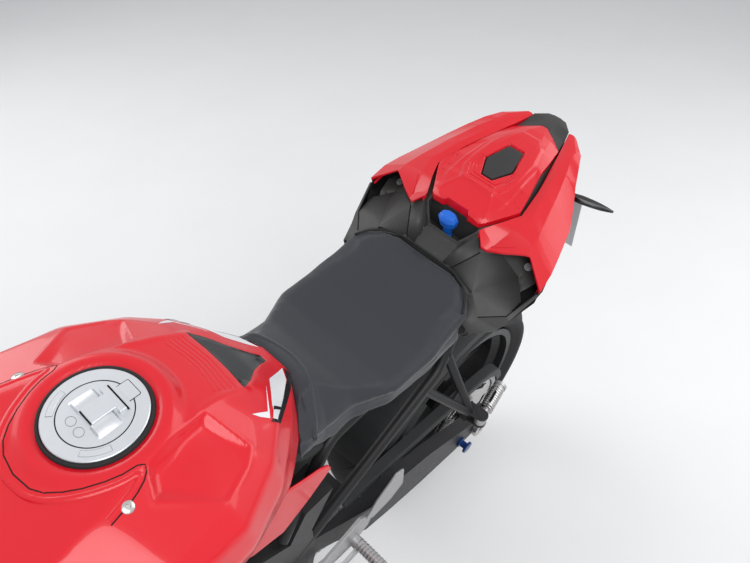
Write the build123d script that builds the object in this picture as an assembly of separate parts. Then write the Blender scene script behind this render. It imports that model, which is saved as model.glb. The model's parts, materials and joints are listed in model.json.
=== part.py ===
from build123d import *
from math import asin, atan2, cos, hypot, pi, radians, sin, sqrt
import os

# Sport motorcycle, leaning on its side stand with the passenger footrests folded back.
# Bike frame, in millimetres: X forward from the rear axle, Y to the rider's left, Z up in
# the plane of the wheels, Z = 0 where the upright tyres touch the floor.
# The finished pieces are leaned to the left and moved so that Z = 0 is the floor and the
# origin lies under the middle of the bounding box.

# Driving dimensions
WHEELBASE = 1400.0
RAKE = 24.5
FORK_OFFSET = 30.0
LEAN = 10.5
PANEL = 3.5
SCREEN_WALL = 3.0
RUNNING_GAP = 0.08
SEAT_GAP = 0.3

# Wheels: the rim's flange and well and both tyres follow the bead seat
RIM_SEAT_R = 216.5
RIM_FLANGE_R = RIM_SEAT_R + 10.5
RIM_WELL_R = RIM_SEAT_R - 16.5
RIM_SKIN = 6.0
RIM_INNER_R = RIM_WELL_R - RIM_SKIN
REAR_RIM_HALF = 76.0
FRONT_RIM_HALF = 50.0
REAR_TYRE_R = RIM_SEAT_R + 98.5
REAR_TYRE_HALF = REAR_RIM_HALF + 14.0
REAR_CROWN_R = 95.0
FRONT_TYRE_R = RIM_SEAT_R + 82.5
FRONT_TYRE_HALF = FRONT_RIM_HALF + 10.0
FRONT_CROWN_R = 62.0
TYRE_WALL = 9.0
SPOKE_COUNT = 5
HUB_R = 38.0
REAR_HUB_HALF = 62.0
FRONT_HUB_HALF = 56.0
REAR_AXLE_R = 14.0
FRONT_AXLE_R = 12.5
REAR_AXLE_BORE_R = 8.0
FRONT_AXLE_BORE_R = 8.5
WHEEL_ROOM = 7.0

# Brakes
FRONT_DISC_R = 155.0
FRONT_DISC_Y = 66.0
REAR_DISC_R = 110.0
REAR_DISC_Y = 92.0
DISC_THICK = 5.0
PAD_GAP = 2.0

# Chain drive, on the left
SPROCKET_Y = 105.0
REAR_SPROCKET_R = 113.8
FRONT_SPROCKET_R = 38.2
FRONT_SPROCKET_X = 648.0
FRONT_SPROCKET_Z = 404.0
CHAIN_HALF_HEIGHT = 7.5
CHAIN_WIDTH = 15.0
SPROCKET_HALF = 4.0
CHAIN_GAP = 1.0

# Front fork and steering head, measured up the fork from the axle
FORK_SPREAD = 105.0
FORK_TUBE_R = 27.0
FORK_SLIDER_R = 21.5
FORK_TOP = 742.0
LOWER_CLAMP = (470.0, 505.0)
UPPER_CLAMP = (680.0, 704.0)
STEM_R = 25.0
HEAD_TUBE_R = 34.0
CLAMP_GAP = 4.0

STEM_BORE_R = 9.0
SLIDER_TOP = 230.0
CALIPER_FOOT = 78.0
CALIPER_TOP = 196.0

# Handlebars
CLIP_ON = (708.0, 738.0)
BAR_R = 11.0
BAR_BORE_R = 4.0
GRIP_R = 16.5
GRIP_LENGTH = 122.0
BAR_END_BACK = 405.0
BAR_END_Y = 348.0
BAR_END_Z = 920.0

# Swingarm
SWING_PIVOT_X = 565.0
SWING_PIVOT_Z = 395.0
SWING_ARM_Y = (120.0, 150.0)
PIVOT_PLATE_Y = (118.0, 138.0)
PIVOT_R = 12.0
BOBBIN_X = 62.0
BOBBIN_Z = 312.0
BOBBIN_HOLE_R = 4.0

# Side stand
STAND_PIVOT = (568.0, 162.0, 256.0)
STAND_FOOT_X = 600.0
STAND_FOOT_Y = 300.0
STAND_R = 10.0
STAND_TRAVEL = 95.0
STAND_HUB_R = 16.0
STAND_HUB_HALF = 11.0
STAND_PIN_R = 6.0
STAND_SIDE_GAP = 0.4

# Middle of the leaning bike's box, in the bike frame's X and the leaned Y
MIDDLE_X = 684.0
MIDDLE_Y = 177.0

# Fuel tank and filler
CAP_X = 778.0
CAP_Z = 998.0
CAP_TILT = 4.2
CAP_RING_R = 61.0
CAP_LID_R = 43.5
CAP_SEAM = 0.8
CAP_PLATE = 4.0
NECK_R = 28.0
NECK_DEPTH = 70.0
LID_HINGE = 51.0
LID_TAB_HALF = 14.5
CAP_RISE = 4.0
LID_THICK = 6.0
HINGE_RISE = 3.4
HINGE_R = 3.2
HINGE_PIN_R = 1.5
HINGE_EAR = 4.0

# Engine, half as wide at the gearbox and at the crankcase
ENGINE_NARROW = 94.0
ENGINE_WIDE = 122.0

# Seat, undertray and fairing seams
SEAT_TAIL_X = 154.0
SEAT_BASE_X = 203.0
SEAT_TAIL_Z = 842.0
SEAT_TANK_GAP = 1.0
KNOB_FLOOR = 877.0
KNOB_BASE_X = 98.0
KNOB_TOP = (112.0, 0.0, 934.0)
COWL_LIP = 10.0
WING_FLANGE = 18.0
TAIL_END_X = -203.0
PAD_FRONT = (12.0, 966.6)
PAD_SLOPE = 14.0
PAD_THICK = 4.6
INDICATOR_ROOT = (-174.0, 90.0, 889.0)
INDICATOR_TIP = (-206.0, 174.0, 884.0)
NOSE_BACK = 222.0
SEAM_X = WHEELBASE - NOSE_BACK
BELLY_TOP = 194.0

# Passenger footrest
PEG_PIVOT = (144.0, 203.0, 556.0)
PEG_LENGTH = 88.0
PEG_KNUCKLE_HALF = 9.0
PEG_EAR = 5.0
PEG_EAR_R = 13.0
PEG_PIN_R = 4.0
PEG_SIDE_GAP = 0.3

REAR_AXLE_Z = REAR_TYRE_R
# The springs let both tyres touch the floor when the bike leans on crowns of two radii.
FRONT_AXLE_Z = FRONT_TYRE_R - (REAR_CROWN_R - FRONT_CROWN_R) * (1 / cos(radians(LEAN)) - 1)


def outline(points, radius=0.0):
    """A flat face from corner points, with its corners rounded."""
    face = make_face(Polyline(*points, close=True))
    return fillet(face.vertices(), radius) if radius else face


def side_plate(points, y_low, y_high, radius=0.0):
    """A plate drawn in side view (x, z) and as thick as y_low to y_high."""
    return extrude(
        Plane.XZ.offset(-y_low) * outline(points, radius), amount=y_high - y_low, dir=(0, 1, 0)
    )


def plan_plate(points, z_low, z_high, radius=0.0):
    """A plate drawn in plan (x, y) and as thick as z_low to z_high."""
    return extrude(Plane.XY.offset(z_low) * outline(points, radius), amount=z_high - z_low)


def front_plate(points, x_low, x_high, radius=0.0):
    """A plate drawn from ahead (y, z) and as thick as x_low to x_high."""
    return extrude(Plane.YZ.offset(x_low) * outline(points, radius), amount=x_high - x_low)


def behind(distance):
    """X of a place that far behind the front axle, for what moves with the front end."""
    return WHEELBASE - distance


def rod(start, end, radius):
    axis = Vector(*end) - Vector(*start)
    return extrude(Plane(origin=start, z_dir=axis) * Circle(radius), amount=axis.length)


def pipe(points, bend, radius):
    """A round tube along straight runs joined by arcs of radius bend."""
    path = FilletPolyline(*points, radius=bend)
    return sweep(Plane(origin=path @ 0, z_dir=path % 0) * Circle(radius), path=path)


def across(x, z, radius, y_low, y_high):
    """A cylinder across the bike."""
    return rod((x, y_low, z), (x, y_high, z), radius)


def both(points):
    """Half an outline, from its last point on one side of the middle to the other side."""
    return list(points) + [(a, -b) for a, b in reversed(points)]


def both_yz(points):
    return list(points) + [(-y, z) for y, z in reversed(points)]


def mirrored(shape):
    return mirror(shape, about=Plane.XZ)


def fused(shapes):
    """All the shapes as one solid."""
    first, *rest = shapes
    return first.fuse(*rest) if rest else first


def loft_x(stations, ruled=True):
    """A body through cross-sections: stations are (x, [(y, z), ...]) with as many points each."""
    return loft([Plane.YZ.offset(x) * outline(points) for x, points in stations], ruled=ruled)


def skin_section(points, thickness):
    """Closed section of a thin wall: the outer points, and the same points moved inward."""
    inner = []
    for i, (y, z) in enumerate(points):
        before = points[max(i - 1, 0)]
        after = points[min(i + 1, len(points) - 1)]
        dy, dz = after[0] - before[0], after[1] - before[1]
        length = hypot(dy, dz)
        inner.append((y - thickness * dz / length, z + thickness * dy / length))
    return list(points) + inner[::-1]


# Directions up the fork and ahead of it
FORK_UP = Vector(-sin(radians(RAKE)), 0, cos(radians(RAKE)))
FORK_AHEAD = Vector(cos(radians(RAKE)), 0, sin(radians(RAKE)))


def at_fork(up, ahead=0.0, y=0.0):
    """A point measured up the fork legs from the front axle, ahead of them and sideways."""
    return (
        Vector(WHEELBASE, 0, FRONT_AXLE_Z) + FORK_UP * up + FORK_AHEAD * ahead + Vector(0, y, 0)
    )


def fork_plane(up, ahead=0.0, y=0.0):
    """A plane square to the fork: its X is ahead, its Y is left and its Z is up the fork."""
    return Plane(origin=at_fork(up, ahead, y), x_dir=FORK_AHEAD, z_dir=FORK_UP)


# Wheels


def tyre(radius, half, crown, rim_half):
    """A hollow tyre, turned about the Y axis: crown arc, side walls and beads."""
    bead_y = rim_half - 6.0 - SEAT_GAP
    bead_r = RIM_SEAT_R + SEAT_GAP

    def wall(inset):
        """The crown and one side of a skin, inset from the outer one."""
        r, c = radius - inset, crown - inset
        shoulder_y = 0.88 * half - inset
        shoulder_r = r - c + sqrt(c * c - shoulder_y * shoulder_y)
        bulge = (half - inset, bead_r + 0.40 * (radius - bead_r))
        foot = bead_y - inset
        return (
            ThreePointArc((-shoulder_y, shoulder_r), (0, r), (shoulder_y, shoulder_r)),
            [(shoulder_y, shoulder_r), bulge, (foot, RIM_FLANGE_R + 1)],
        )

    edges = []
    feet = []
    for arc, side in (wall(0.0), wall(TYRE_WALL)):
        foot = side[2][0]
        feet.append(foot)
        edges.append(arc)
        for sign in (-1, 1):
            edges.append(ThreePointArc(*[(sign * y, r) for y, r in side]))
            edges.append(Line((sign * foot, side[2][1]), (sign * foot, bead_r)))
    for sign in (-1, 1):
        edges.append(Line((sign * feet[0], bead_r), (sign * feet[1], bead_r)))
    section = make_face(Wire(edges))
    # The section is drawn as (y, r) and turned about the Y axis.
    placed = Plane(origin=(0, 0, 0), x_dir=(0, 1, 0), z_dir=(1, 0, 0)) * section
    return revolve(placed, axis=Axis.Y)


def rim(half, hub_half, bore, spoke_half, disc_seats):
    """Barrel, hub and forked spokes, about the Y axis."""
    w, skin = half, RIM_SKIN
    barrel = [
        (-w, RIM_FLANGE_R), (-w + 5, RIM_FLANGE_R), (-w + 6, RIM_SEAT_R), (-w + 22, RIM_SEAT_R),
        (-w + 34, RIM_WELL_R), (w - 34, RIM_WELL_R), (w - 22, RIM_SEAT_R), (w - 6, RIM_SEAT_R),
        (w - 5, RIM_FLANGE_R), (w, RIM_FLANGE_R), (w, RIM_SEAT_R - skin),
        (w - 20, RIM_SEAT_R - skin), (w - 33, RIM_INNER_R), (-w + 33, RIM_INNER_R),
        (-w + 20, RIM_SEAT_R - skin), (-w, RIM_SEAT_R - skin),
    ]
    turn = Plane(origin=(0, 0, 0), x_dir=(0, 1, 0), z_dir=(1, 0, 0))
    ring = revolve(turn * outline(barrel), axis=Axis.Y)
    hub = across(0, 0, HUB_R, -hub_half, hub_half)
    for y_low, y_high, seat_r in disc_seats:
        hub += across(0, 0, seat_r, y_low, y_high)
    end = RIM_WELL_R - skin / 2
    spoke = side_plate(
        [(-17, 20), (-15, 100), (-38, end - 2), (-22, end), (0, 128), (22, end), (38, end - 2),
         (15, 100), (17, 20)],
        -spoke_half, spoke_half,
    )
    wheel = fused([ring, hub] + [
        Rotation(0, 360.0 * i / SPOKE_COUNT, 0) * spoke for i in range(SPOKE_COUNT)
    ])
    return wheel - across(0, 0, bore, -hub_half - 60, hub_half + 60)


def disc(radius, y, carrier_r, bore_r, arms):
    """Brake disc: a friction ring on a carrier with arms, about the Y axis."""
    band = 40.0
    low, high = y - DISC_THICK / 2, y + DISC_THICK / 2
    ring = across(0, 0, radius, low, high) - across(0, 0, radius - band, low - 1, high + 1)
    middle = across(0, 0, carrier_r, low, high)
    arm = side_plate([(-9, 0), (-7, radius - band + 4), (7, radius - band + 4), (9, 0)], low, high)
    body = fused([ring, middle] + [Rotation(0, 360.0 * i / arms, 0) * arm for i in range(arms)])
    return body - across(0, 0, bore_r, low - 1, high + 1)


def rear_wheel():
    centre = Location((0, 0, REAR_AXLE_Z))
    cush_low, cush_high = REAR_HUB_HALF - 4, SPROCKET_Y - SPROCKET_HALF
    disc_seat = -REAR_DISC_Y + DISC_THICK / 2 + SEAT_GAP
    rim_body = rim(
        REAR_RIM_HALF, REAR_HUB_HALF, REAR_AXLE_R + RUNNING_GAP, 20.0,
        [(cush_low, cush_high - SEAT_GAP, 72.0), (disc_seat, -REAR_HUB_HALF + 4, 48.0)],
    )
    tip = REAR_SPROCKET_R - CHAIN_HALF_HEIGHT - CHAIN_GAP
    sprocket = across(0, 0, tip, SPROCKET_Y - SPROCKET_HALF, SPROCKET_Y + SPROCKET_HALF)
    sprocket -= across(0, 0, 40.0, SPROCKET_Y - 9, SPROCKET_Y + 9)
    windows = 5
    for i in range(windows):
        corners = [(-24, 76), (-30, 92), (30, 92), (24, 76)]
        window = side_plate(corners, SPROCKET_Y - 9, SPROCKET_Y + 9, 4.0)
        sprocket -= Rotation(0, 360.0 * (i + 0.5) / windows, 0) * window
    return {
        "rear_rim": centre * rim_body,
        "rear_tyre": centre * (
            tyre(REAR_TYRE_R, REAR_TYRE_HALF, REAR_CROWN_R, REAR_RIM_HALF)
        ),
        "rear_brake_disc": centre * disc(REAR_DISC_R, -REAR_DISC_Y, 56.0, 30.0, 5),
        "rear_sprocket": centre * sprocket,
    }


def front_wheel():
    centre = Location((WHEELBASE, 0, FRONT_AXLE_Z))
    seat_low = FRONT_DISC_Y - DISC_THICK / 2 - SEAT_GAP
    seats = [(FRONT_HUB_HALF - 4, seat_low, 44.0), (-seat_low, -FRONT_HUB_HALF + 4, 44.0)]
    one = disc(FRONT_DISC_R, FRONT_DISC_Y, 58.0, 30.0, 6)
    rim_body = rim(FRONT_RIM_HALF, FRONT_HUB_HALF, FRONT_AXLE_R + RUNNING_GAP, 16.0, seats)
    return {
        "front_rim": centre * rim_body,
        "front_tyre": centre * (
            tyre(FRONT_TYRE_R, FRONT_TYRE_HALF, FRONT_CROWN_R, FRONT_RIM_HALF)
        ),
        "front_brake_discs": centre * Compound(children=[one, mirrored(one)]),
    }


# Chassis


def beam(rows):
    """A box beam through rows of (x, inner y, outer y, low z, high z)."""
    return loft_x(
        [(x, [(a, low), (b, low), (b, high), (a, high)]) for x, a, b, low, high in rows]
    )


def frame():
    head = rod(
        at_fork(LOWER_CLAMP[1] + CLAMP_GAP, -FORK_OFFSET),
        at_fork(UPPER_CLAMP[0] - CLAMP_GAP, -FORK_OFFSET),
        HEAD_TUBE_R,
    )
    inner, outer = PIVOT_PLATE_Y
    spar = beam([
        (behind(280), 6, 34, 780, 850),
        (behind(350), 30, 70, 745, 842),
        (behind(440), 96, 128, 680, 795),
        (850, inner, 146, 610, 735),
        (700, inner, 142, 515, 640),
        (590, inner, outer, 430, 570),
    ])
    plate = side_plate(
        [(545, 222), (600, 222), (640, 330), (640, 450), (620, 560), (540, 560), (522, 440),
         (528, 340)],
        inner, outer, 12.0,
    )
    left = [spar, plate, stand_lug()]
    right = [mirrored(spar), mirrored(plate)]
    tie = side_plate([(500, 600), (560, 590), (560, 640), (500, 650)], -inner - 4, inner + 4)
    low_tie = side_plate([(548, 232), (596, 232), (600, 262), (545, 262)], -inner - 4, inner + 4)
    gusset = side_plate([(545, 545), (600, 545), (560, 640), (500, 650)], inner, outer)
    body = fused([head, tie, low_tie, gusset, mirrored(gusset)] + left + right)
    body -= rod(at_fork(400, -FORK_OFFSET), at_fork(760, -FORK_OFFSET), STEM_R + RUNNING_GAP)
    bolt = across(SWING_PIVOT_X, SWING_PIVOT_Z, PIVOT_R, -outer - 8, outer + 8)
    return fused([body, bolt])


def stand_foot():
    """Centre of the foot's lower face, on the floor when the bike leans."""
    lean = radians(LEAN)
    lift = REAR_CROWN_R * (1 - cos(lean))
    return Vector(STAND_FOOT_X, STAND_FOOT_Y, (STAND_FOOT_Y * sin(lean) - lift) / cos(lean))


def stand_axis():
    down = (stand_foot() - Vector(*STAND_PIVOT)).normalized()
    folded = Vector(-1.0, 0.10, 0.05).normalized()
    return down.cross(folded).normalized()


def stand_lug():
    """Lug and pivot pin for the side stand, inboard of its hub."""
    axis = stand_axis()
    pivot = Vector(*STAND_PIVOT)
    face = pivot - axis * (STAND_HUB_HALF + STAND_SIDE_GAP)
    lug = rod(face - axis * 26, face, STAND_HUB_R)
    pin = rod(face - axis * 5, pivot + axis * (STAND_HUB_HALF + STAND_SIDE_GAP), STAND_PIN_R)
    head = rod(
        pivot + axis * (STAND_HUB_HALF + STAND_SIDE_GAP),
        pivot + axis * (STAND_HUB_HALF + STAND_SIDE_GAP + 6), 10.0,
    )
    return fused([lug, pin, head])


def side_stand():
    axis = stand_axis()
    pivot = Vector(*STAND_PIVOT)
    foot = stand_foot()
    hub = rod(pivot - axis * STAND_HUB_HALF, pivot + axis * STAND_HUB_HALF, STAND_HUB_R)
    # The foot is level with the floor once the bike leans.
    floor = Plane(
        origin=foot, x_dir=(1, 0, 0), z_dir=(0, sin(radians(LEAN)), cos(radians(LEAN)))
    )
    pad_face = floor * outline([(-30, -16), (34, -16), (44, 0), (34, 26), (-30, 26)], 6.0)
    pad = extrude(pad_face, amount=7.0)
    top = foot + (pivot - foot).normalized() * 14
    body = fused([hub, rod(pivot, top, STAND_R), pad])
    return body - rod(pivot - axis * 30, pivot + axis * 30, STAND_PIN_R + RUNNING_GAP)


def subframe():
    tube = 11.0
    hanger = 9.0
    px, py, pz = PEG_PIVOT
    upper = pipe([(600, 128, 590), (480, 100, 735), (200, 95, 765), (0, 60, 832)], 60, tube)
    lower = pipe([(590, 128, 462), (242, 130, 726), (100, 80, 792)], 60, tube)
    root = (px + 6, py - 22, pz + 2)
    front_arm = rod(root, (274, 128, 702), hanger)
    rear_arm = rod(root, (209, 122, 742), hanger)
    web_plane = Plane(
        origin=root, x_dir=Vector(274, 128, 702) - Vector(*root),
        z_dir=(Vector(274, 128, 702) - Vector(*root)).cross(Vector(209, 122, 742) - Vector(*root)),
    )
    along = (Vector(274, 128, 702) - Vector(*root)).length
    spread = (Vector(209, 122, 742) - Vector(*root)).dot(web_plane.y_dir)
    reach = (Vector(209, 122, 742) - Vector(*root)).dot(web_plane.x_dir)
    web_face = outline([(0, 0), (0.45 * along, 0), (0.45 * reach, 0.45 * spread)])
    web = extrude(web_plane * web_face, amount=2.5, both=True)
    half = [upper, lower, front_arm, rear_arm, web, peg_clevis()]
    cross_front = rod((470, -101, 736), (470, 101, 736), 10.0)
    cross_rear = rod((40, -68, 818), (40, 68, 818), 10.0)
    body = fused(half + [mirrored(s) for s in half] + [cross_front, cross_rear])
    return body - frame()


def peg_clevis():
    """Two ears and a pin that hold a passenger footrest, and the block behind them."""
    px, py, pz = PEG_PIVOT
    inner = PEG_KNUCKLE_HALF + PEG_SIDE_GAP
    ears = []
    for low, high in ((inner, inner + PEG_EAR), (-inner - PEG_EAR, -inner)):
        ears.append(plan_plate(
            [(px - 10, py - 34), (px + 20, py - 34), (px + 13, py), (px - 13, py)],
            pz + low, pz + high,
        ))
        ears.append(rod((px, py, pz + low), (px, py, pz + high), PEG_EAR_R))
    pin = rod((px, py, pz - inner - PEG_EAR), (px, py, pz + inner + PEG_EAR), PEG_PIN_R)
    block = plan_plate(
        [(px - 8, py - 36), (px + 20, py - 36), (px + 20, py - 20), (px - 8, py - 20)],
        pz - inner - PEG_EAR, pz + inner + PEG_EAR,
    )
    return fused(ears + [pin, block])


def passenger_peg():
    """Left footrest folded back: knuckle, tread and rounded tip."""
    px, py, pz = PEG_PIVOT
    knuckle = rod((px, py, pz - PEG_KNUCKLE_HALF), (px, py, pz + PEG_KNUCKLE_HALF), 12.0)
    turn = atan2(-24, -114)
    ahead = Vector(cos(turn), sin(turn), 0.07)
    neck_end = Vector(px, py, pz) + ahead * 30
    tip = Vector(px, py, pz) + ahead * PEG_LENGTH
    neck = rod(Vector(px, py, pz) + ahead * 8, neck_end + ahead * 2, 8.0)
    tread = rod(neck_end, tip, 12.5)
    end = rod(tip - ahead * 1, tip + ahead * 6, 14.0)
    bore = rod((px, py, pz - 30), (px, py, pz + 30), PEG_PIN_R + RUNNING_GAP)
    return fused([knuckle, neck, tread, end]) - bore


def swingarm():
    inner, outer = SWING_ARM_Y
    arm = beam([
        (SWING_PIVOT_X, 82, 114, 370, 420),
        (505, 84, 115, 356, 420),
        (450, 92, 126, 342, 414),
        (380, inner - 4, outer - 2, 328, 426),
        (300, inner, outer, 316, 440),
        (200, inner, outer, REAR_AXLE_Z - 15, REAR_AXLE_Z + 103),
        (60, inner, outer, REAR_AXLE_Z - 29, REAR_AXLE_Z + 47),
        (-42, inner, outer, REAR_AXLE_Z - 23, REAR_AXLE_Z + 23),
    ])
    tube = across(SWING_PIVOT_X, SWING_PIVOT_Z, 29.0, -114, 114)
    brace = side_plate([(380, 346), (446, 350), (446, 408), (380, 412)], -100, 100, 8.0)
    body = fused([arm, mirrored(arm), tube, brace])
    past = outer + 10
    body -= across(SWING_PIVOT_X, SWING_PIVOT_Z, PIVOT_R + RUNNING_GAP, -past, past)
    body -= across(0, REAR_AXLE_Z, REAR_AXLE_R + SEAT_GAP, -past, past)
    for y in (-past, inner - 30):
        body -= across(BOBBIN_X, BOBBIN_Z, BOBBIN_HOLE_R, y, y + past - inner + 30)
    return body


def stand_bobbins():
    """Spools for a paddock stand, on the arms just ahead of the axle."""
    face = SWING_ARM_Y[1]
    spool = fused([
        across(BOBBIN_X, BOBBIN_Z, 13.0, face + SEAT_GAP, face + 5),
        across(BOBBIN_X, BOBBIN_Z, 8.0, face + 4, face + 19),
        across(BOBBIN_X, BOBBIN_Z, 15.0, face + 18, face + 24),
        across(BOBBIN_X, BOBBIN_Z, BOBBIN_HOLE_R - SEAT_GAP, face - 28, face + 2),
    ])
    return Compound(children=[spool, mirrored(spool)])


def rear_axle():
    arm_inner, arm_outer = SWING_ARM_Y
    shaft = across(0, REAR_AXLE_Z, REAR_AXLE_R, -arm_outer - 14, arm_outer + 14)
    nuts = [
        across(0, REAR_AXLE_Z, 23.0, arm_outer + SEAT_GAP, arm_outer + 14),
        across(0, REAR_AXLE_Z, 23.0, -arm_outer - 14, -arm_outer - SEAT_GAP),
    ]
    spacers = [
        across(0, REAR_AXLE_Z, 22.0, SPROCKET_Y - SPROCKET_HALF, arm_inner - SEAT_GAP),
        across(0, REAR_AXLE_Z, 22.0, -arm_inner + SEAT_GAP, -REAR_DISC_Y + DISC_THICK / 2),
    ]
    return fused([shaft] + nuts + spacers) - across(0, REAR_AXLE_Z, REAR_AXLE_BORE_R, -200, 200)


def rear_caliper():
    """Caliper over the disc, ahead of the axle, with its bracket to the axle."""
    slot = DISC_THICK / 2 + PAD_GAP
    top = REAR_DISC_R + 12
    body = side_plate([(-40, 68), (40, 68), (44, top), (-44, top)], -114, -72, 8.0)
    edge = REAR_DISC_R + 4
    gap = side_plate(
        [(-60, 60), (60, 60), (60, edge), (-60, edge)], -REAR_DISC_Y - slot, -REAR_DISC_Y + slot
    )
    bracket = side_plate([(-26, 0), (-30, 90), (30, 90), (26, 0)], -108, -101)
    bracket += across(0, 0, 30.0, -108, -101)
    one = fused([body - gap, bracket]) - across(0, 0, 22.0 + SEAT_GAP, -130, -90)
    return Location((0, 0, REAR_AXLE_Z)) * Rotation(0, 48, 0) * one


def belt(offset, y_low, y_high):
    """The solid inside a loop round both sprockets, offset from the chain's middle."""
    span_x, span_z = FRONT_SPROCKET_X, FRONT_SPROCKET_Z - REAR_AXLE_Z
    big, small = REAR_SPROCKET_R + offset, FRONT_SPROCKET_R + offset
    lie = atan2(span_z, span_x)
    turn = pi / 2 - asin((big - small) / hypot(span_x, span_z))
    corners = []
    for x, z, r, side in (
        (0, REAR_AXLE_Z, big, 1),
        (FRONT_SPROCKET_X, FRONT_SPROCKET_Z, small, 1),
        (FRONT_SPROCKET_X, FRONT_SPROCKET_Z, small, -1),
        (0, REAR_AXLE_Z, big, -1),
    ):
        angle = lie + side * turn
        corners.append((x + r * cos(angle), z + r * sin(angle)))
    return fused([
        side_plate(corners, y_low, y_high),
        across(0, REAR_AXLE_Z, big, y_low, y_high),
        across(FRONT_SPROCKET_X, FRONT_SPROCKET_Z, small, y_low, y_high),
    ])


def chain():
    low, high = SPROCKET_Y - CHAIN_WIDTH / 2, SPROCKET_Y + CHAIN_WIDTH / 2
    return belt(CHAIN_HALF_HEIGHT, low, high) - belt(-CHAIN_HALF_HEIGHT, low - 1, high + 1)


def front_sprocket():
    tip = FRONT_SPROCKET_R - CHAIN_HALF_HEIGHT - CHAIN_GAP
    low, high = SPROCKET_Y - SPROCKET_HALF, SPROCKET_Y + SPROCKET_HALF
    return fused([
        across(FRONT_SPROCKET_X, FRONT_SPROCKET_Z, tip, low, high),
        across(FRONT_SPROCKET_X, FRONT_SPROCKET_Z, 16.0, ENGINE_NARROW + SEAT_GAP, high + 3),
    ])


def shock():
    low, high = Vector(488, 0, 330), Vector(521, 0, 590)
    along = (high - low).normalized()
    spring = rod(low + along * 70, low + along * 200, 33.0)
    cups = [rod(low + along * 62, low + along * 71, 37.0), rod(low + along * 199, low + along * 208, 37.0)]
    body = rod(low + along * 200, high - along * 8, 25.0)
    shaft = rod(low, low + along * 70, 9.0)
    eye = across(low.X, low.Z, 15.0, -16, 16)
    head = rod(high - along * 10, high + along * 18, 16.0)
    link = side_plate([(500, 322), (496, 342), (430, 362), (412, 340)], 15, 22)
    body = fused([spring, body, shaft, eye, head, link, mirrored(link)] + cups)
    return body - frame() - swingarm()


# Engine

def engine():
    case = side_plate(
        [(650, 300), (646, 455), (700, 500), (800, 490), (935, 480), (962, 400), (950, 285),
         (880, 228), (680, 228)],
        -ENGINE_NARROW, ENGINE_NARROW, 10.0,
    )
    wide = side_plate(
        [(712, 260), (712, 455), (930, 462), (955, 400), (944, 290), (880, 240)],
        -ENGINE_WIDE, ENGINE_WIDE, 14.0,
    )
    block = side_plate(
        [(770, 470), (935, 470), (984, 610), (972, 655), (828, 655), (790, 600)], -102, 102, 10.0
    )
    clutch = across(742, 352, 84.0, -172, -ENGINE_WIDE + 4)
    clutch_cap = across(742, 352, 52.0, -180, -170)
    generator = across(868, 352, 66.0, ENGINE_WIDE - 4, 172)
    timing = across(880, 352, 54.0, -166, -ENGINE_WIDE + 4)
    starter = side_plate([(735, 420), (735, 470), (790, 478), (800, 420)], -ENGINE_WIDE, 60, 6.0)
    sump = side_plate([(700, 214), (700, 240), (870, 240), (850, 214)], -70, 70, 4.0)
    return fused([case, wide, block, clutch, clutch_cap, generator, timing, starter, sump])


def radiator():
    core = side_plate([(1012, 400), (1046, 400), (1068, 690), (1034, 690)], -150, 150)
    tanks = side_plate([(1006, 396), (1052, 396), (1074, 694), (1028, 694)], 148, 172, 5.0)
    oil_cooler = side_plate([(1008, 290), (1036, 290), (1042, 372), (1014, 372)], -90, 90, 5.0)
    neck = side_plate([(1010, 366), (1030, 366), (1034, 404), (1014, 404)], -20, 20)
    post = side_plate([(1036, 686), (1052, 686), (1052, 764), (1040, 764)], 38, 52)
    body = fused([core, tanks, mirrored(tanks), oil_cooler, neck, post, mirrored(post)])
    return body - frame()


def exhaust():
    header = 18.0
    pipes = []
    for y in (-84, -28, 28, 84):
        pipes.append(pipe(
            [(962, y, 570), (986, y, 530), (986, y, 262), (900, 0.7 * y, 186), (815, 0.6 * y, 186)],
            24, header,
        ))
    collector = side_plate([(690, 162), (690, 208), (825, 208), (825, 162)], -84, 84, 8.0)
    outlet = pipe(
        [(720, -50, 188), (640, -116, 190), (560, -196, 215), (500, -208, 284)], 40, 24.0
    )
    body = fused([collector, outlet] + pipes)
    return body - engine()


def silencer():
    start, end = Vector(500, -208, 284), Vector(200, -224, 420)
    along = (end - start).normalized()
    can = rod(start + along * 62, end, 47.0)
    cone = loft([
        Plane(origin=start + along * SEAT_GAP, z_dir=along) * Circle(27.0),
        Plane(origin=start + along * 63, z_dir=along) * Circle(46.0),
    ])
    tail = rod(end - along * 2, end + along * 14, 30.0)
    mouth = rod(end - along * 60, end + along * 20, 25.0)
    return fused([can, cone, tail]) - mouth - exhaust()


# Tank, seat and tail


# Half outlines of the tank and the seat at each height: (x, y) from the rear to the front
TANK_ROWS = (
    (798, [(500, 40), (540, 100), (605, 152), (660, 170), (715, 185), (820, 195), (985, 105)]),
    (884, [(506, 24), (532, 62), (570, 108), (640, 168), (716, 204), (815, 214), (985, 110)]),
    (933, [(572, 24), (578, 64), (603, 112), (646, 156), (722, 198), (815, 208), (985, 110)]),
    (958, [(608, 22), (614, 61), (631, 97), (663, 136), (729, 174), (815, 188), (985, 105)]),
    (1000, [(655, 12), (664, 30), (680, 40), (710, 56), (771, 80), (845, 86), (985, 84)]),
)
SEAT_ROWS = (
    (744, [(160, 60), (176, 90), (205, 108), (280, 126), (371, 126), (440, 112), (500, 116),
           (570, 126)]),
    (800, [(156, 66), (170, 102), (202, 132), (280, 142), (371, 137), (440, 112), (500, 114),
           (562, 126)]),
    (845, [(154, 66), (166, 104), (198, 130), (280, 124), (371, 104), (440, 84), (480, 72),
           (545, 90)]),
    (892, [(154, 56), (166, 94), (196, 116), (280, 100), (371, 80), (440, 60), (480, 48),
           (520, 60)]),
)


def stack_z(stations):
    """A body through level half outlines: stations are (z, [(x, y), ...]), mirrored."""
    sections = []
    for z, half in stations:
        sections.append(Plane.XY.offset(z) * outline(both(half)))
    return loft(sections, ruled=True)


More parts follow.
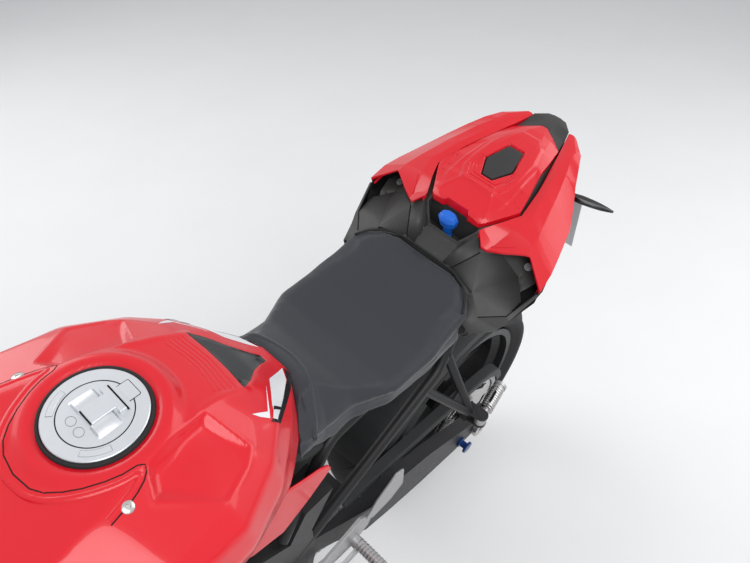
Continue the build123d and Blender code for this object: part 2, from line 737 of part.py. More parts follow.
def cap_plane(height=0.0):
    """Level with the filler cap, which tips ahead: its Z is the cap's axis."""
    tilt = radians(CAP_TILT)
    axis = Vector(sin(tilt), 0, cos(tilt))
    return Plane(origin=Vector(CAP_X, 0, CAP_Z) + axis * height, x_dir=(cos(tilt), 0, -sin(tilt)),
                 z_dir=axis)


def cap_disc(radius, low, high):
    return extrude(cap_plane(low) * Circle(radius), amount=high - low)


def fuel_tank():
    body = stack_z(TANK_ROWS)
    profile = side_plate(
        [(492, 798), (492, 855), (506, 870), (531, 889), (572, 926), (611, 958), (650, 977),
         (690, 991), (730, 998), (778, 998), (862, 990), (940, 972), (985, 950), (985, 835),
         (900, 798)],
        -240, 240,
    )
    body = body & profile
    foot = side_plate([(925, 776), (950, 776), (950, 830), (925, 830)], 98, 116)
    scoop = tank_scoop()
    body = fused([body, foot, mirrored(foot)]) - scoop - mirrored(scoop)
    body -= cap_disc(CAP_RING_R + SEAT_GAP, -CAP_PLATE, 60.0)
    return body - cap_disc(NECK_R, -NECK_DEPTH, 0.0) - frame()


def tank_scoop():
    """Shallow scoop beside the tank's top, deepest along its front edge."""
    front_in, front_out, rear_out = (775, 88, 990.7), (788, 122, 976.5), (668, 125, 963.5)
    across_it = Vector(*front_out) - Vector(*front_in)
    back = Vector(*rear_out) - Vector(*front_in)
    floor = Plane(origin=front_in, x_dir=across_it, z_dir=back.cross(across_it))
    corners = [(775, 84, 992), (790, 124, 976), (726, 168, 957), (680, 148, 955), (662, 128, 962),
               (684, 71, 985)]
    local = [floor.to_local_coords(Vector(*corner)) for corner in corners]
    return extrude(floor * outline([(p.X, p.Y) for p in local], 6.0), amount=60)


def hinge_rod(radius, y_low, y_high):
    plane = cap_plane(CAP_RISE)
    start = plane.from_local_coords((-LID_HINGE, y_low, HINGE_RISE))
    end = plane.from_local_coords((-LID_HINGE, y_high, HINGE_RISE))
    return rod(start, end, radius)


def cap_box(x_low, x_high, y_low, y_high, z_low, z_high):
    """A block in the cap's own frame, above its upper face."""
    face = outline([(x_low, y_low), (x_high, y_low), (x_high, y_high), (x_low, y_high)])
    return extrude(cap_plane(CAP_RISE + z_low) * face, amount=z_high - z_low)


def filler_ring():
    """Ring round the lid, sunk in the tank, with the two ears and pin of the hinge."""
    seat = CAP_LID_R + CAP_SEAM
    ring = cap_disc(CAP_RING_R, -CAP_PLATE + SEAT_GAP, CAP_RISE)
    ring -= cap_disc(seat, CAP_RISE - LID_THICK - SEAT_GAP, CAP_RISE + 5)
    ring -= cap_disc(NECK_R, -CAP_PLATE, CAP_RISE)
    tab = LID_TAB_HALF + SEAT_GAP
    ring -= cap_box(-LID_HINGE - 5.0, -CAP_LID_R + 8, -tab, tab, -3.0, 4.0)
    ears = []
    for side in (-1, 1):
        low, high = sorted((side * tab, side * (tab + HINGE_EAR)))
        ears.append(hinge_rod(HINGE_R, low, high))
        ears.append(cap_box(-LID_HINGE - 3.2, -LID_HINGE + 3.2, low, high, -1.0, HINGE_RISE))
    pin = hinge_rod(HINGE_PIN_R, -tab - 1, tab + 1)
    return fused([ring, pin] + ears)


def filler_lid():
    """Lid with raised grips, key flap and hinge tab."""
    lid = cap_disc(CAP_LID_R, CAP_RISE - LID_THICK, CAP_RISE)
    raised = []
    for side in (-1, 1):
        y_low, y_high = sorted((side * 20.0, side * 33.0))
        raised.append(cap_box(-22, 20, y_low, y_high, -1.0, 2.6))
    raised.append(cap_box(-24, 12, -16.5, 16.5, -1.0, 3.0))
    tab = cap_box(-LID_HINGE, -CAP_LID_R + 8, -LID_TAB_HALF, LID_TAB_HALF, -1.0, 4.2)
    barrel = hinge_rod(HINGE_R, -LID_TAB_HALF, LID_TAB_HALF)
    body = fused([lid, tab, barrel] + raised)
    return body - hinge_rod(HINGE_PIN_R + RUNNING_GAP, -LID_TAB_HALF - 2, LID_TAB_HALF + 2)


def seat_stack(grow):
    """The seat's body, wider and longer behind by grow, before its top and base are cut."""
    return stack_z([(z, [(x - grow, y + grow) for x, y in row]) for z, row in SEAT_ROWS])


def rider_seat():
    """Seat: wide at the rear, narrow at the tank, with sides that slope out to the skirt."""
    profile = side_plate(
        [(SEAT_TAIL_X, SEAT_TAIL_Z), (SEAT_BASE_X, SEAT_TAIL_Z - 6), (SEAT_BASE_X, 774),
         (380, 752), (480, 745), (575, 798), (575, 810), (520, 864), (492, 860), (440, 826),
         (380, 812), (300, 820), (250, 838), (SEAT_BASE_X, 858), (SEAT_TAIL_X, 868)],
        -180, 180,
    )
    tank_room = stack_z([
        (z, [(x - SEAT_TANK_GAP, y + SEAT_TANK_GAP) for x, y in row]) for z, row in TANK_ROWS
    ])
    return (seat_stack(0.0) & profile) - tank_room - subframe()


def tail_inner():
    """Dark undertray between the seat and the tail: faceted, with the recess for the lock knob."""
    body = loft_x([
        (x, both_yz([low, side, rim, gutter, seam, inner]))
        for x, low, side, rim, gutter, seam, inner in (
            (SEAT_BASE_X - SEAT_GAP,
             (112, 774), (140, 812), (140, 840), (105, 850), (52, 852), (31, 852)),
            (152, (112, 786), (140, 818), (138, 846), (105, 857), (50, 867), (31, 866)),
            (117, (112, 796), (146, 826), (154, 852), (124, 864), (75, 903), (34, 889)),
            (99, (111, 802), (152, 834), (166, 862), (140, 870), (81, 914), (57, 924)),
            (88, (110, 806), (156, 840), (172, 868), (146, 872), (84, 917), (58, 930)),
            (60, (104, 818), (160, 856), (180, 876), (150, 882), (88, 927), (66, 940)),
            (30, (98, 832), (150, 868), (166, 888), (140, 900), (99, 935), (80, 949)),
            (-60, (76, 866), (112, 896), (126, 920), (108, 932), (80, 957), (60, 976)),
            (-128, (50, 905), (72, 935), (80, 952), (74, 960), (64, 971), (46, 980)),
        )
    ])
    recess = plan_plate([(114, -32), (114, 32), (99, 54), (88, 54), (88, -54), (99, -54)],
                        KNOB_FLOOR, 1000)
    seat_room = seat_stack(SEAT_GAP) & side_plate(
        [(SEAT_TAIL_X - 20, SEAT_TAIL_Z - SEAT_GAP),
         (SEAT_BASE_X + 1, SEAT_TAIL_Z - 6 - SEAT_GAP), (SEAT_BASE_X + 1, 890),
         (SEAT_TAIL_X - 20, 890)],
        -180, 180,
    )
    return body - recess - seat_room - subframe()


def seat_lock_knob():
    """Turning knob that frees the seat: a faceted head on a waisted stem."""
    base, top = Vector(KNOB_BASE_X, 0, KNOB_FLOOR + SEAT_GAP), Vector(*KNOB_TOP)
    along = (top - base).normalized()
    length = (top - base).length
    sections = []
    for height, radius in ((4.0, 9.0), (0.45 * length, 10.0), (length - 22, 14.5),
                           (length - 8, 17.0), (length, 13.5)):
        plane = Plane(origin=base + along * height, z_dir=along)
        sections.append(plane * RegularPolygon(radius, 8))
    return fused([rod(base, base + Vector(0, 0, 6), 9.5), loft(sections, ruled=True)])


def seat_cowl():
    """Hump behind the seat: thin-lipped, with a raised ring round the pad's recess."""
    body = loft_x([
        (x, both_yz([(side, edge - COWL_LIP), (side, edge), crease, top]))
        for x, side, edge, crease, top in (
            (93, 50, 938, (36, 941), (20, 943)),
            (87, 57.5, 939, (46, 944), (22, 947)),
            (40, 87, 955, (60, 961), (33, 965)),
            (30, 91, 957, (62, 963), (34, 966)),
            (-4, 83, 970, (60, 975), (36, 974)),
            (-60, 66.5, 983.5, (50, 987), (34, 988)),
            (-98, 60, 986.5, (42, 993), (24, 997)),
            (-137, 52, 987.5, (30, 998), (14, 1002)),
            (-161, 11, 1001, (8, 1002.5), (4, 1003)),
        )
    ])
    ring_half = [(-28, 33), (20, 48), (84, 40), (122, 20)]
    ring = extrude(pad_plane(-3.0) * outline(both(ring_half)), amount=12.0, taper=28)
    pocket = extrude(pad_plane(0.0) * outline(both(pad_half(1.0))), amount=20.0, taper=-30)
    notch = plan_plate([(88, -23), (93.5, -28), (110, -28), (110, 28), (93.5, 28), (88, 23)],
                       900, 960)
    return fused([body, ring]) - pocket - notch - tail_inner()


def pad_plane(height):
    """The recess floor under the pad: its X runs back up the hump, its Z is out."""
    slope = radians(PAD_SLOPE)
    out = Vector(sin(slope), 0, cos(slope))
    front = Vector(PAD_FRONT[0], 0, PAD_FRONT[1])
    return Plane(origin=front + out * height, x_dir=(-cos(slope), 0, sin(slope)), z_dir=out)


def pad_half(grow):
    """Half of the pad's six corners, larger by grow: along the slope and out from the middle."""
    return [(1 - grow, 11 + 0.5 * grow), (36, 29 + grow), (88 + grow, 16 + 0.5 * grow)]


def pillion_pad():
    """Six-sided rubber pad with sloped sides in the hump's recess."""
    return loft([pad_plane(0.0) * outline(both(pad_half(0.0))),
                 pad_plane(PAD_THICK) * outline(both(pad_half(-2.0)))], ruled=True)


def tail_panel():
    """Left tail panel: a thin wing over the air duct, with a bay in its front edge."""
    stations = []
    for x, inner, mid, crease, outer in (
        (116, (58, 932), (84, 908), (152, 896), (204, 868)),
        (95, (63, 936), (92, 917), (150, 912), (199, 881)),
        (60, (82, 946), (104, 943), (146, 932), (194, 901)),
        (30, (95, 951), (112, 952), (138, 944), (185, 912)),
        (-30, (85, 967), (98, 970), (120, 965), (165, 931)),
        (-60, (77, 973), (89, 977), (110, 974), (146, 951)),
        (-90, (68, 979), (80, 984), (99, 984), (124, 973)),
        (-120, (60, 986), (69, 990), (86, 992), (107, 987)),
        (-150, (51, 992), (58, 996), (78, 998), (91, 994)),
        (-183, (41, 1001), (45, 1003), (52, 1003), (58, 1000)),
    ):
        edge = (outer[0] - 5, outer[1] - 13)
        flange = (inner[0] + 0.5, inner[1] - WING_FLANGE)
        inside = [
            (flange[0] + PANEL, flange[1]), (inner[0] + PANEL, inner[1] - 2 * PANEL),
            (mid[0], mid[1] - 1.3 * PANEL), (crease[0], crease[1] - PANEL),
            (outer[0] - PANEL, outer[1] - PANEL), (edge[0] - PANEL, edge[1]),
        ]
        stations.append((x, [edge, outer, crease, mid, inner, flange] + inside))
    bay = plan_plate([(113, 78), (93, 117), (73, 152), (91, 197), (99, 230), (130, 230), (130, 78)],
                     840, 960)
    tip = plan_plate([(113, 78), (130, 78), (130, 40), (102, 40), (102, 60)], 840, 960)
    body = loft_x(stations) - bay - tip - tail_inner()
    return body.solids().sort_by(SortBy.VOLUME)[-1]


def tail_end():
    """Black end piece behind the hump, between the wings."""
    body = loft_x([
        (x, both_yz([low, side, top]))
        for x, low, side, top in (
            (-139.4, (42, 960), (50.5, 984), (18, 996)),
            (-163, (42, 963), (45.5, 992), (12, 1003.5)),
            (-184, (38, 968), (39.5, 1004), (12, 1008)),
            (TAIL_END_X, (18, 976), (20, 1007), (6, 1009.5)),
        )
    ])
    return body - seat_cowl()


def tail_lamp():
    return loft_x([
        (TAIL_END_X - SEAT_GAP, both_yz([(15, 980), (17, 1002)])),
        (TAIL_END_X - 11, both_yz([(10, 985), (12, 998)])),
    ])


def plate_holder():
    arm = side_plate(
        [(-120, 900), (-80, 872), (-190, 800), (-278, 722), (-297, 737), (-292, 752),
         (-212, 838), (-150, 922), (-131, 922)],
        -34, 34,
    )
    panel = side_plate([(-270, 816), (-274, 817.4), (-330, 650.4), (-326, 649)], -92, 92)
    root = Vector(*INDICATOR_ROOT)
    along = (Vector(*INDICATOR_TIP) - root).normalized()
    stalk = rod(root - along * 66, root - along * SEAT_GAP, 6.0)
    return fused([arm, panel, stalk, mirrored(stalk)]) - tail_inner()


def number_plate():
    return side_plate(
        [(-276.3, 811.8), (-277.8, 812.3), (-330.6, 654.8), (-329.1, 654.3)], -88, 88
    )


def rear_indicators():
    """Leaf-shaped indicators on the ends of the plate holder's stalks."""
    root, tip = Vector(*INDICATOR_ROOT), Vector(*INDICATOR_TIP)
    along = (tip - root).normalized()
    sections = []
    for share, wide, tall in ((0.0, 8, 6.5), (0.3, 13, 8), (0.75, 10, 6.5), (1.0, 3, 2)):
        plane = Plane(origin=root + (tip - root) * share, x_dir=(-1, -0.38, 0.2), z_dir=along)
        sections.append(plane * outline([
            (-wide, 0), (-0.4 * wide, tall), (0.5 * wide, 0.8 * tall), (wide, 0),
            (0.5 * wide, -0.8 * tall), (-0.4 * wide, -tall),
        ]))
    leaf = loft(sections, ruled=True)
    return Compound(children=[leaf, mirrored(leaf)])


# Bodywork in front


def shell_side(stations):
    """Left half of a thin body: stations are (x, [(y, z), ...]) from the lower edge up."""
    return loft_x([(x, skin_section(points, PANEL)) for x, points in stations])


def screen_line(above):
    """Everything above the seam between the nose and the windscreen."""
    low = [(behind(250), 884), (behind(160), 880), (behind(-62), 938)]
    shifted = [(x, z + above) for x, z in low]
    return side_plate(shifted + [(behind(-62), 1300), (behind(250), 1300)], -300, 300)


# Left half of the nose: distance behind the front axle, then (y, z) from the lower edge up
NOSE_SECTIONS = (
    (NOSE_BACK, [(225, 660), (250, 760), (234, 850), (150, 905), (1, 930)]),
    (100, [(212, 684), (240, 772), (220, 860), (132, 930), (1, 965)]),
    (0, [(162, 704), (200, 784), (182, 862), (108, 932), (1, 965)]),
    (-82, [(92, 724), (136, 792), (122, 858), (70, 908), (1, 930)]),
    (-156, [(18, 764), (34, 800), (30, 834), (18, 852), (1, 858)]),
)
LAMP_OUTLINE = [(30, 800), (44, 772), (150, 822), (168, 862), (96, 836)]


def nose_shell():
    return shell_side([(behind(back), points) for back, points in NOSE_SECTIONS])


def lamp_prism(grow):
    face = Plane.YZ.offset(behind(20)) * outline(LAMP_OUTLINE)
    if grow:
        face = offset(face, amount=grow)
    return extrude(face, amount=220)


def nose_half():
    return nose_shell() - lamp_prism(SEAT_GAP) - screen_line(0.0)


def nose_cowl():
    half = nose_half()
    body = fused([half, mirrored(half)])
    tip = loft_x([
        (behind(-155.5), both_yz([(18, 764), (34, 800), (30, 834), (18, 852)])),
        (behind(-172), both_yz([(10, 780), (20, 802), (18, 826), (10, 840)])),
    ])
    bridge = side_plate(
        [(behind(back), z) for back, z in (
            (-62, 932), (-82, 925.5), (-156, 853.5), (-156, 848), (-78, 920), (-62, 927))],
        -6, 6,
    )
    return fused([body, tip, bridge])


def headlamps():
    lens = nose_shell() & lamp_prism(0.0)
    return Compound(children=[lens, mirrored(lens)])


def windscreen():
    """Clear screen over the cockpit, from the nose up and back."""
    stations = (
        (184, [(150, 884.6), (146, 960), (118, 1050), (62, 1108), (1, 1126)]),
        (100, [(172, 897), (150, 960), (112, 1028), (56, 1062), (1, 1074)]),
        (0, [(126, 923), (108, 960), (74, 986), (36, 1004), (1, 1010)]),
        (-62, [(66, 939.5), (54, 946), (38, 952), (18, 957), (1, 958)]),
    )
    half = loft_x([(behind(back), skin_section(points, SCREEN_WALL)) for back, points in stations])
    half = half & screen_line(SEAT_GAP)
    spine = []
    for back, points in stations:
        top = points[-1][1]
        low = top - SCREEN_WALL - 0.1
        spine.append((behind(back), [(-1.2, low), (-1.2, top), (1.2, top), (1.2, low)]))
    spine = loft_x(spine)
    return fused([half, mirrored(half), spine])


def side_fairing():
    """Left side fairing, from the nose seam back past the engine, open behind at the covers."""
    body = shell_side((
        (600, [(172, 192), (208, 300), (216, 420), (210, 540), (178, 640)]),
        (800, [(176, 192), (221, 320), (236, 480), (240, 620), (204, 760)]),
        (behind(400), [(180, 192), (224, 330), (242, 520), (252, 700), (216, 850)]),
        (SEAM_X, [(206, 300), (218, 480), (225, 659), (250, 759), (234, 849)]),
    ))
    front = SEAM_X - SEAT_GAP
    window = side_plate(
        [(650, BELLY_TOP + SEAT_GAP), (behind(348), BELLY_TOP + SEAT_GAP), (behind(308), 262),
         (behind(272), 400), (behind(240), 540), (front, 640),
         (front, 846), (behind(396), 836), (900, 800), (820, 706), (706, 600), (700, 566),
         (820, 548), (904, 480), (884, 330), (800, 286), (668, 276), (640, 246)],
        140, 270,
    )
    vent = side_plate(
        [(behind(back), z) for back, z in ((452, 392), (344, 560), (314, 548), (404, 380))],
        140, 270, 8.0,
    )
    return (body & window) - vent


def belly_pan():
    """Trough under the engine between the two side fairings."""
    def section(low, wide):
        half = [(wide, BELLY_TOP), (wide - 34, low + 16), (50, low)]
        outer = both_yz(half)
        inner = both_yz([
            (wide - PANEL, BELLY_TOP), (wide - 34 - PANEL, low + 16 + PANEL), (48, low + PANEL)
        ])
        return outer + inner[::-1]

    return loft_x([
        (650, section(140, 173.7)), (820, section(126, 177)), (1000, section(130, 180.7)),
        (1050, section(150, 176)),
    ])


def mudguard(outer, thickness, start, arc, x, z):
    """A curved guard: half section (y, r) from its lower edge up to the middle, swept
    about the wheel's axle over arc degrees from start degrees ahead of straight up."""
    inner = [(y - thickness, r) for y, r in outer[:-2]]
    inner += [(outer[-2][0] - thickness, outer[-2][1] - thickness), (0, outer[-1][1] - thickness)]
    ring = outer + [(-y, r) for y, r in outer[-2::-1]]
    ring += [(-y, r) for y, r in inner[:-1]] + inner[::-1]
    turn = Plane(origin=(0, 0, 0), x_dir=(0, 1, 0), z_dir=(1, 0, 0))
    swept = revolve(turn * outline(ring), axis=Axis.Y, revolution_arc=arc)
    return Location((x, 0, z)) * Rotation(0, start, 0) * swept


def rear_hugger():
    """Mudguard over the rear tyre's front, on lugs from the swingarm."""
    r, half = REAR_TYRE_R, REAR_TYRE_HALF
    section = [(half + 4, r - 23), (half + 2, r - 3), (half - 20, r + 8), (0, r + 16)]
    guard = mudguard(section, 3.0, -20, 98, 0, REAR_AXLE_Z)
    reach = SWING_ARM_Y[0] - SEAT_GAP
    low, high = REAR_AXLE_Z + 69, REAR_AXLE_Z + 89
    corners = [(half + 2, low), (reach, low), (reach, high), (half + 2, high)]
    lug_x = sqrt((r - 10) ** 2 - 79.0 ** 2)
    lug = front_plate(corners, lug_x - 5, lug_x + 5)
    return fused([guard, lug, mirrored(lug)])


# Steering


def triple_clamps():
    plan = [(34, -136), (34, 136), (-34, 136), (-68, 38), (-68, -38), (-34, -136)]
    pieces = []
    for low, high in (LOWER_CLAMP, UPPER_CLAMP):
        plate = extrude(fork_plane(low) * outline(plan, 22.0), amount=high - low)
        for y in (-FORK_SPREAD, FORK_SPREAD):
            plate -= rod(at_fork(low - 5, 0, y), at_fork(high + 5, 0, y), FORK_TUBE_R + SEAT_GAP)
        pieces.append(plate)
    stem = rod(
        at_fork(LOWER_CLAMP[0] - 12, -FORK_OFFSET), at_fork(UPPER_CLAMP[1] + 12, -FORK_OFFSET),
        STEM_R,
    )
    nut = rod(
        at_fork(UPPER_CLAMP[1] - 1, -FORK_OFFSET), at_fork(UPPER_CLAMP[1] + 14, -FORK_OFFSET), 28.0
    )
    bore = rod(at_fork(LOWER_CLAMP[0] - 20, -FORK_OFFSET), at_fork(LOWER_CLAMP[0] + 40, -FORK_OFFSET),
               STEM_BORE_R)
    return fused(pieces + [stem, nut]) - bore


def fork_tubes():
    legs = []
    for y in (-FORK_SPREAD, FORK_SPREAD):
        tube = rod(at_fork(SLIDER_TOP, 0, y), at_fork(FORK_TOP, 0, y), FORK_TUBE_R)
        cap = rod(at_fork(FORK_TOP - 1, 0, y), at_fork(FORK_TOP + 8, 0, y), 15.0)
        slider = rod(at_fork(25, 0, y), at_fork(SLIDER_TOP + 2, 0, y), FORK_SLIDER_R)
        seal = rod(at_fork(SLIDER_TOP - 10, 0, y), at_fork(SLIDER_TOP + 1, 0, y), FORK_TUBE_R - 1)
        low, high = y - 19, y + 19
        axle_z = FRONT_AXLE_Z
        lug = across(WHEELBASE, axle_z, 24.0, low, high)
        web = rod(at_fork(-4, 0, y), at_fork(30, 0, y), high - y)
        leg = fused([tube, cap, slider, seal, lug, web])
        legs.append(leg - across(WHEELBASE, axle_z, FRONT_AXLE_R + SEAT_GAP, low - 10, high + 10))
    return Compound(children=legs)


def front_axle():
    end = FORK_SPREAD + 19
    shaft = across(WHEELBASE, FRONT_AXLE_Z, FRONT_AXLE_R, -end - 3, end + 3)
    head = across(WHEELBASE, FRONT_AXLE_Z, 17.0, end + SEAT_GAP, end + 8)
    spacers = [
        across(WHEELBASE, FRONT_AXLE_Z, 20.0, low, high)
        for low, high in ((FRONT_DISC_Y - 2.0, FORK_SPREAD - 19.4), (-FORK_SPREAD + 19.4, -FRONT_DISC_Y + 2.0))
    ]
    body = fused([shaft, head] + spacers)
    return body - across(WHEELBASE, FRONT_AXLE_Z, FRONT_AXLE_BORE_R, -200, 200)


def front_caliper():
    """Left radial caliper behind the leg, inside the rim and round the disc, with its lugs."""
    def block(low, high, back, front, y_low, y_high):
        face = outline([(back, y_low), (front, y_low), (front, y_high), (back, y_high)])
        return extrude(fork_plane(low) * face, amount=high - low)
    inner, outer = FRONT_DISC_Y - 24, FRONT_DISC_Y + 26
    room = across(WHEELBASE, FRONT_AXLE_Z, RIM_INNER_R - WHEEL_ROOM, inner - 1, outer + 20)
    body = block(CALIPER_FOOT, CALIPER_TOP, -104, -52, inner, outer) & room
    slot = DISC_THICK / 2 + PAD_GAP
    body -= across(
        WHEELBASE, FRONT_AXLE_Z, FRONT_DISC_R + 4, FRONT_DISC_Y - slot, FRONT_DISC_Y + slot)
    lugs = [
        block(low, low + 22, -60, -16, outer - 8, outer + 8)
        for low in (CALIPER_FOOT + 6, CALIPER_TOP - 46)
    ]
    leg = rod(at_fork(0, 0, FORK_SPREAD), at_fork(SLIDER_TOP, 0, FORK_SPREAD), FORK_SLIDER_R + SEAT_GAP)
    return fused([body] + lugs) - leg


def front_calipers():
    one = front_caliper()
    return Compound(children=[one, mirrored(one)])


def front_fender():
    """Mudguard over the front tyre, with its stays to the fork legs."""
    r, half = FRONT_TYRE_R, FRONT_TYRE_HALF
    section = [(half + 12, r - 37), (half + 16, r - 13), (half - 2, r + 7), (0, r + 15)]
    guard = mudguard(section, 3.0, -92, 130, WHEELBASE, FRONT_AXLE_Z)
    stays = []
    leg = FORK_SPREAD - FORK_SLIDER_R - SEAT_GAP
    side = half + 17.4
    for low, high, y_low, y_high in ((184, r - 15, side - 3.9, side), (188, 214, side - 0.4, leg)):
        face = outline([(-15, y_low), (15, y_low), (15, y_high), (-15, y_high)])
        stays.append(extrude(fork_plane(low) * face, amount=high - low))
    return fused([guard] + stays + [mirrored(s) for s in stays])


def clip_ons():
    low, high = CLIP_ON
    ring = rod(at_fork(low, 0, FORK_SPREAD), at_fork(high, 0, FORK_SPREAD), 36.0)
    start, end = bar_line()
    bar = rod(start, end, BAR_R)
    one = fused([ring, bar]) - rod(
        at_fork(low - 5, 0, FORK_SPREAD), at_fork(high + 5, 0, FORK_SPREAD), FORK_TUBE_R + SEAT_GAP
    )
    one -= rod(end - (end - start).normalized() * 30, end + (end - start), BAR_BORE_R)
    return Compound(children=[one, mirrored(one)])


def bar_line():
    start = at_fork(0.5 * (CLIP_ON[0] + CLIP_ON[1]), -6, FORK_SPREAD + 29)
    return start, Vector(behind(BAR_END_BACK), BAR_END_Y, BAR_END_Z)


def grips():
    start, end = bar_line()
    along = (end - start).normalized()
    tube = rod(end - along * (GRIP_LENGTH + 2), end - along * 2, GRIP_R)
    flange = rod(end - along * (GRIP_LENGTH + 4), end - along * GRIP_LENGTH, 21.0)
    one = fused([tube, flange]) - rod(start, end + along * 10, BAR_R + 0.1)
    return Compound(children=[one, mirrored(one)])


def controls():
    """Switch pods and levers on both bars."""
    start, end = bar_line()
    along = (end - start).normalized()
    length = (end - start).length
    inner = length - GRIP_LENGTH - 8
    pod = rod(start + along * (inner - 44), start + along * (inner - 2), 21.0)
    ahead = Vector(0.9, 0.42, 0.0).normalized()
    pivot = start + along * (inner - 50) + ahead * 48
    arm = rod(start + along * (inner - 62), pivot, 9.0)
    perch = rod(start + along * (inner - 74), start + along * (inner - 50), 17.0)
    lever = rod(pivot, pivot + along * 165 - ahead * 4, 6.5)
    ball = rod(pivot + along * 164 - ahead * 4, pivot + along * 172 - ahead * 4, 9.0)
    one = fused([pod, arm, perch, lever, ball]) - rod(start, end, BAR_R + 0.1)
    return Compound(children=[one, mirrored(one)])


# Small pieces


def rearset():
    """Left footrest hanger outside the pivot plate, with footrest and heel plate."""
    low, high = 156.0, 163.0
    plate = side_plate(
        [(600, 440), (604, 400), (520, 380), (446, 378), (404, 410), (392, 452), (430, 470),
         (520, 432), (560, 446)],
        low, high, 6.0,
    )
    bosses = [across(594, 424, 11.0, PIVOT_PLATE_Y[1] + SEAT_GAP, low + 1)]
    peg = across(440, 400, 11.5, high - 1, 246)
    tip = across(440, 400, 14.0, 244, 250)
    heel = side_plate(
        [(318, 470), (330, 540), (352, 548), (400, 500), (420, 462), (400, 440), (350, 446)],
        low + 8, low + 11, 6.0,
    )
    heel_boss = across(408, 462, 8.0, high - 1, low + 9)
    return fused([plate, peg, tip, heel, heel_boss] + bosses)


def foot_lever():
    """Pedal arm beside the footrest: gear change on the left, brake on the right."""
    arm = side_plate([(432, 385), (448, 385), (585, 352), (582, 340), (430, 370)], 172, 179)
    toe = across(578, 347, 8.0, 178, 214)
    pivot = across(440, 378, 6.0, 163 + SEAT_GAP, 180)
    return fused([arm, toe, pivot])


def mirror_one():
    stem = rod((behind(98), 179, 884), (behind(122), 300, 990), 7.0)
    head = front_plate(
        [(262, 992), (270, 1044), (356, 1052), (372, 1030), (352, 992)],
        behind(138), behind(112), 8.0,
    )
    return (fused([stem, head]) - nose_half()).solids().sort_by(SortBy.VOLUME)[-1]


def mirrors():
    one = mirror_one()
    return Compound(children=[one, mirrored(one)])


def instrument():
    """Dash on a stay that runs ahead from the steering head between the fork legs."""
    dash_side = [(186, 946), (164, 1000), (148, 994), (170, 940)]
    dash = side_plate([(behind(back), z) for back, z in dash_side], -70, 70, 5.0)
    stay_side = [
        (280, 832), (254, 838), (160, 878), (70, 882), (70, 896), (150, 900), (160, 958),
        (174, 944), (168, 896), (280, 850),
    ]
    stay = side_plate([(behind(back), z) for back, z in stay_side], -12, 12)
    stay_bar = rod((behind(74), -206, 889), (behind(74), 206, 889), 6.0)
    body = fused([dash, stay, stay_bar])
    body -= rod(at_fork(480, -FORK_OFFSET), at_fork(700, -FORK_OFFSET), HEAD_TUBE_R)
    inside = loft_x([(behind(back), both_yz(row[::-1])) for back, row in (
        (NOSE_BACK, [(1, 930), (147, 902), (230, 850), (246, 760), (221, 660)]),
        (100, [(1, 961), (130, 926), (216, 859), (236, 772), (208, 684)]),
        (0, [(1, 961), (106, 928), (178, 861), (196, 784), (158, 704)]),
    )])
    cockpit = [(behind(300), 780), (behind(140), 780), (behind(140), 1010), (behind(300), 1010)]
    return body & (inside + side_plate(cockpit, -80, 80))


def upright_nodes():
    """Every node by name, in the bike frame."""
    nodes = {
        "frame": frame(),
        "subframe": subframe(),
        "engine": engine(),
        "radiator": radiator(),
        "exhaust_headers": exhaust(),
        "silencer": silencer(),
        "swingarm": swingarm(),
        "rear_shock": shock(),
        "rear_axle": rear_axle(),
        "rear_caliper": rear_caliper(),
        "rear_hugger": rear_hugger(),
        "drive_chain": chain(),
        "front_sprocket": front_sprocket(),
        "paddock_spools": stand_bobbins(),
        "fuel_tank": fuel_tank(),
        "filler_ring": filler_ring(),
        "filler_lid": filler_lid(),
        "rider_seat": rider_seat(),
        "tail_undertray": tail_inner(),
        "seat_lock_knob": seat_lock_knob(),
        "seat_cowl": seat_cowl(),
        "pillion_pad": pillion_pad(),
        "tail_end": tail_end(),
        "tail_lamp": tail_lamp(),
        "plate_holder": plate_holder(),
        "number_plate": number_plate(),
        "rear_indicators": rear_indicators(),
        "nose_cowl": nose_cowl(),
        "headlamps": headlamps(),
        "windscreen": windscreen(),
        "belly_pan": belly_pan(),
        "mirrors": mirrors(),
        "instrument_panel": instrument(),
        "side_stand": side_stand(),
        "triple_clamps": triple_clamps(),
        "fork_legs": fork_tubes(),
        "front_axle": front_axle(),
        "front_calipers": front_calipers(),
        "front_fender": front_fender(),
        "clip_on_bars": clip_ons(),
        "grips": grips(),
        "bar_controls": controls(),
    }
    pairs = (
        ("tail_panel_left", "tail_panel_right", tail_panel()),
        ("side_fairing_left", "side_fairing_right", side_fairing()),
        ("rearset_left", "rearset_right", rearset()),
        ("gear_lever", "brake_pedal", foot_lever()),
        ("passenger_peg_left", "passenger_peg_right", passenger_peg()),
    )
    for left, right, shape in pairs:
        nodes[left] = shape
        nodes[right] = mirrored(shape)
    nodes.update(rear_wheel())
    nodes.update(front_wheel())
    return nodes


def placement():
    """From the bike frame to the finished one: lean to the left, lift, then centre."""
    lift = REAR_CROWN_R * (1 - cos(radians(LEAN)))
    return Location((-MIDDLE_X, -MIDDLE_Y, lift)) * Rotation(-LEAN, 0, 0)


def main():
    os.makedirs("parts", exist_ok=True)
    place = placement()
    for name, shape in upright_nodes().items():
        placed = place * shape
        placed.label = name
        export_step(placed, f"parts/{name}.step")


if __name__ == "__main__":
    main()
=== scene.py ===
import json
import math

import bmesh
import bpy
import numpy as np
from mathutils import Matrix, Vector
from mathutils.bvhtree import BVHTree
from mathutils.geometry import delaunay_2d_cdt

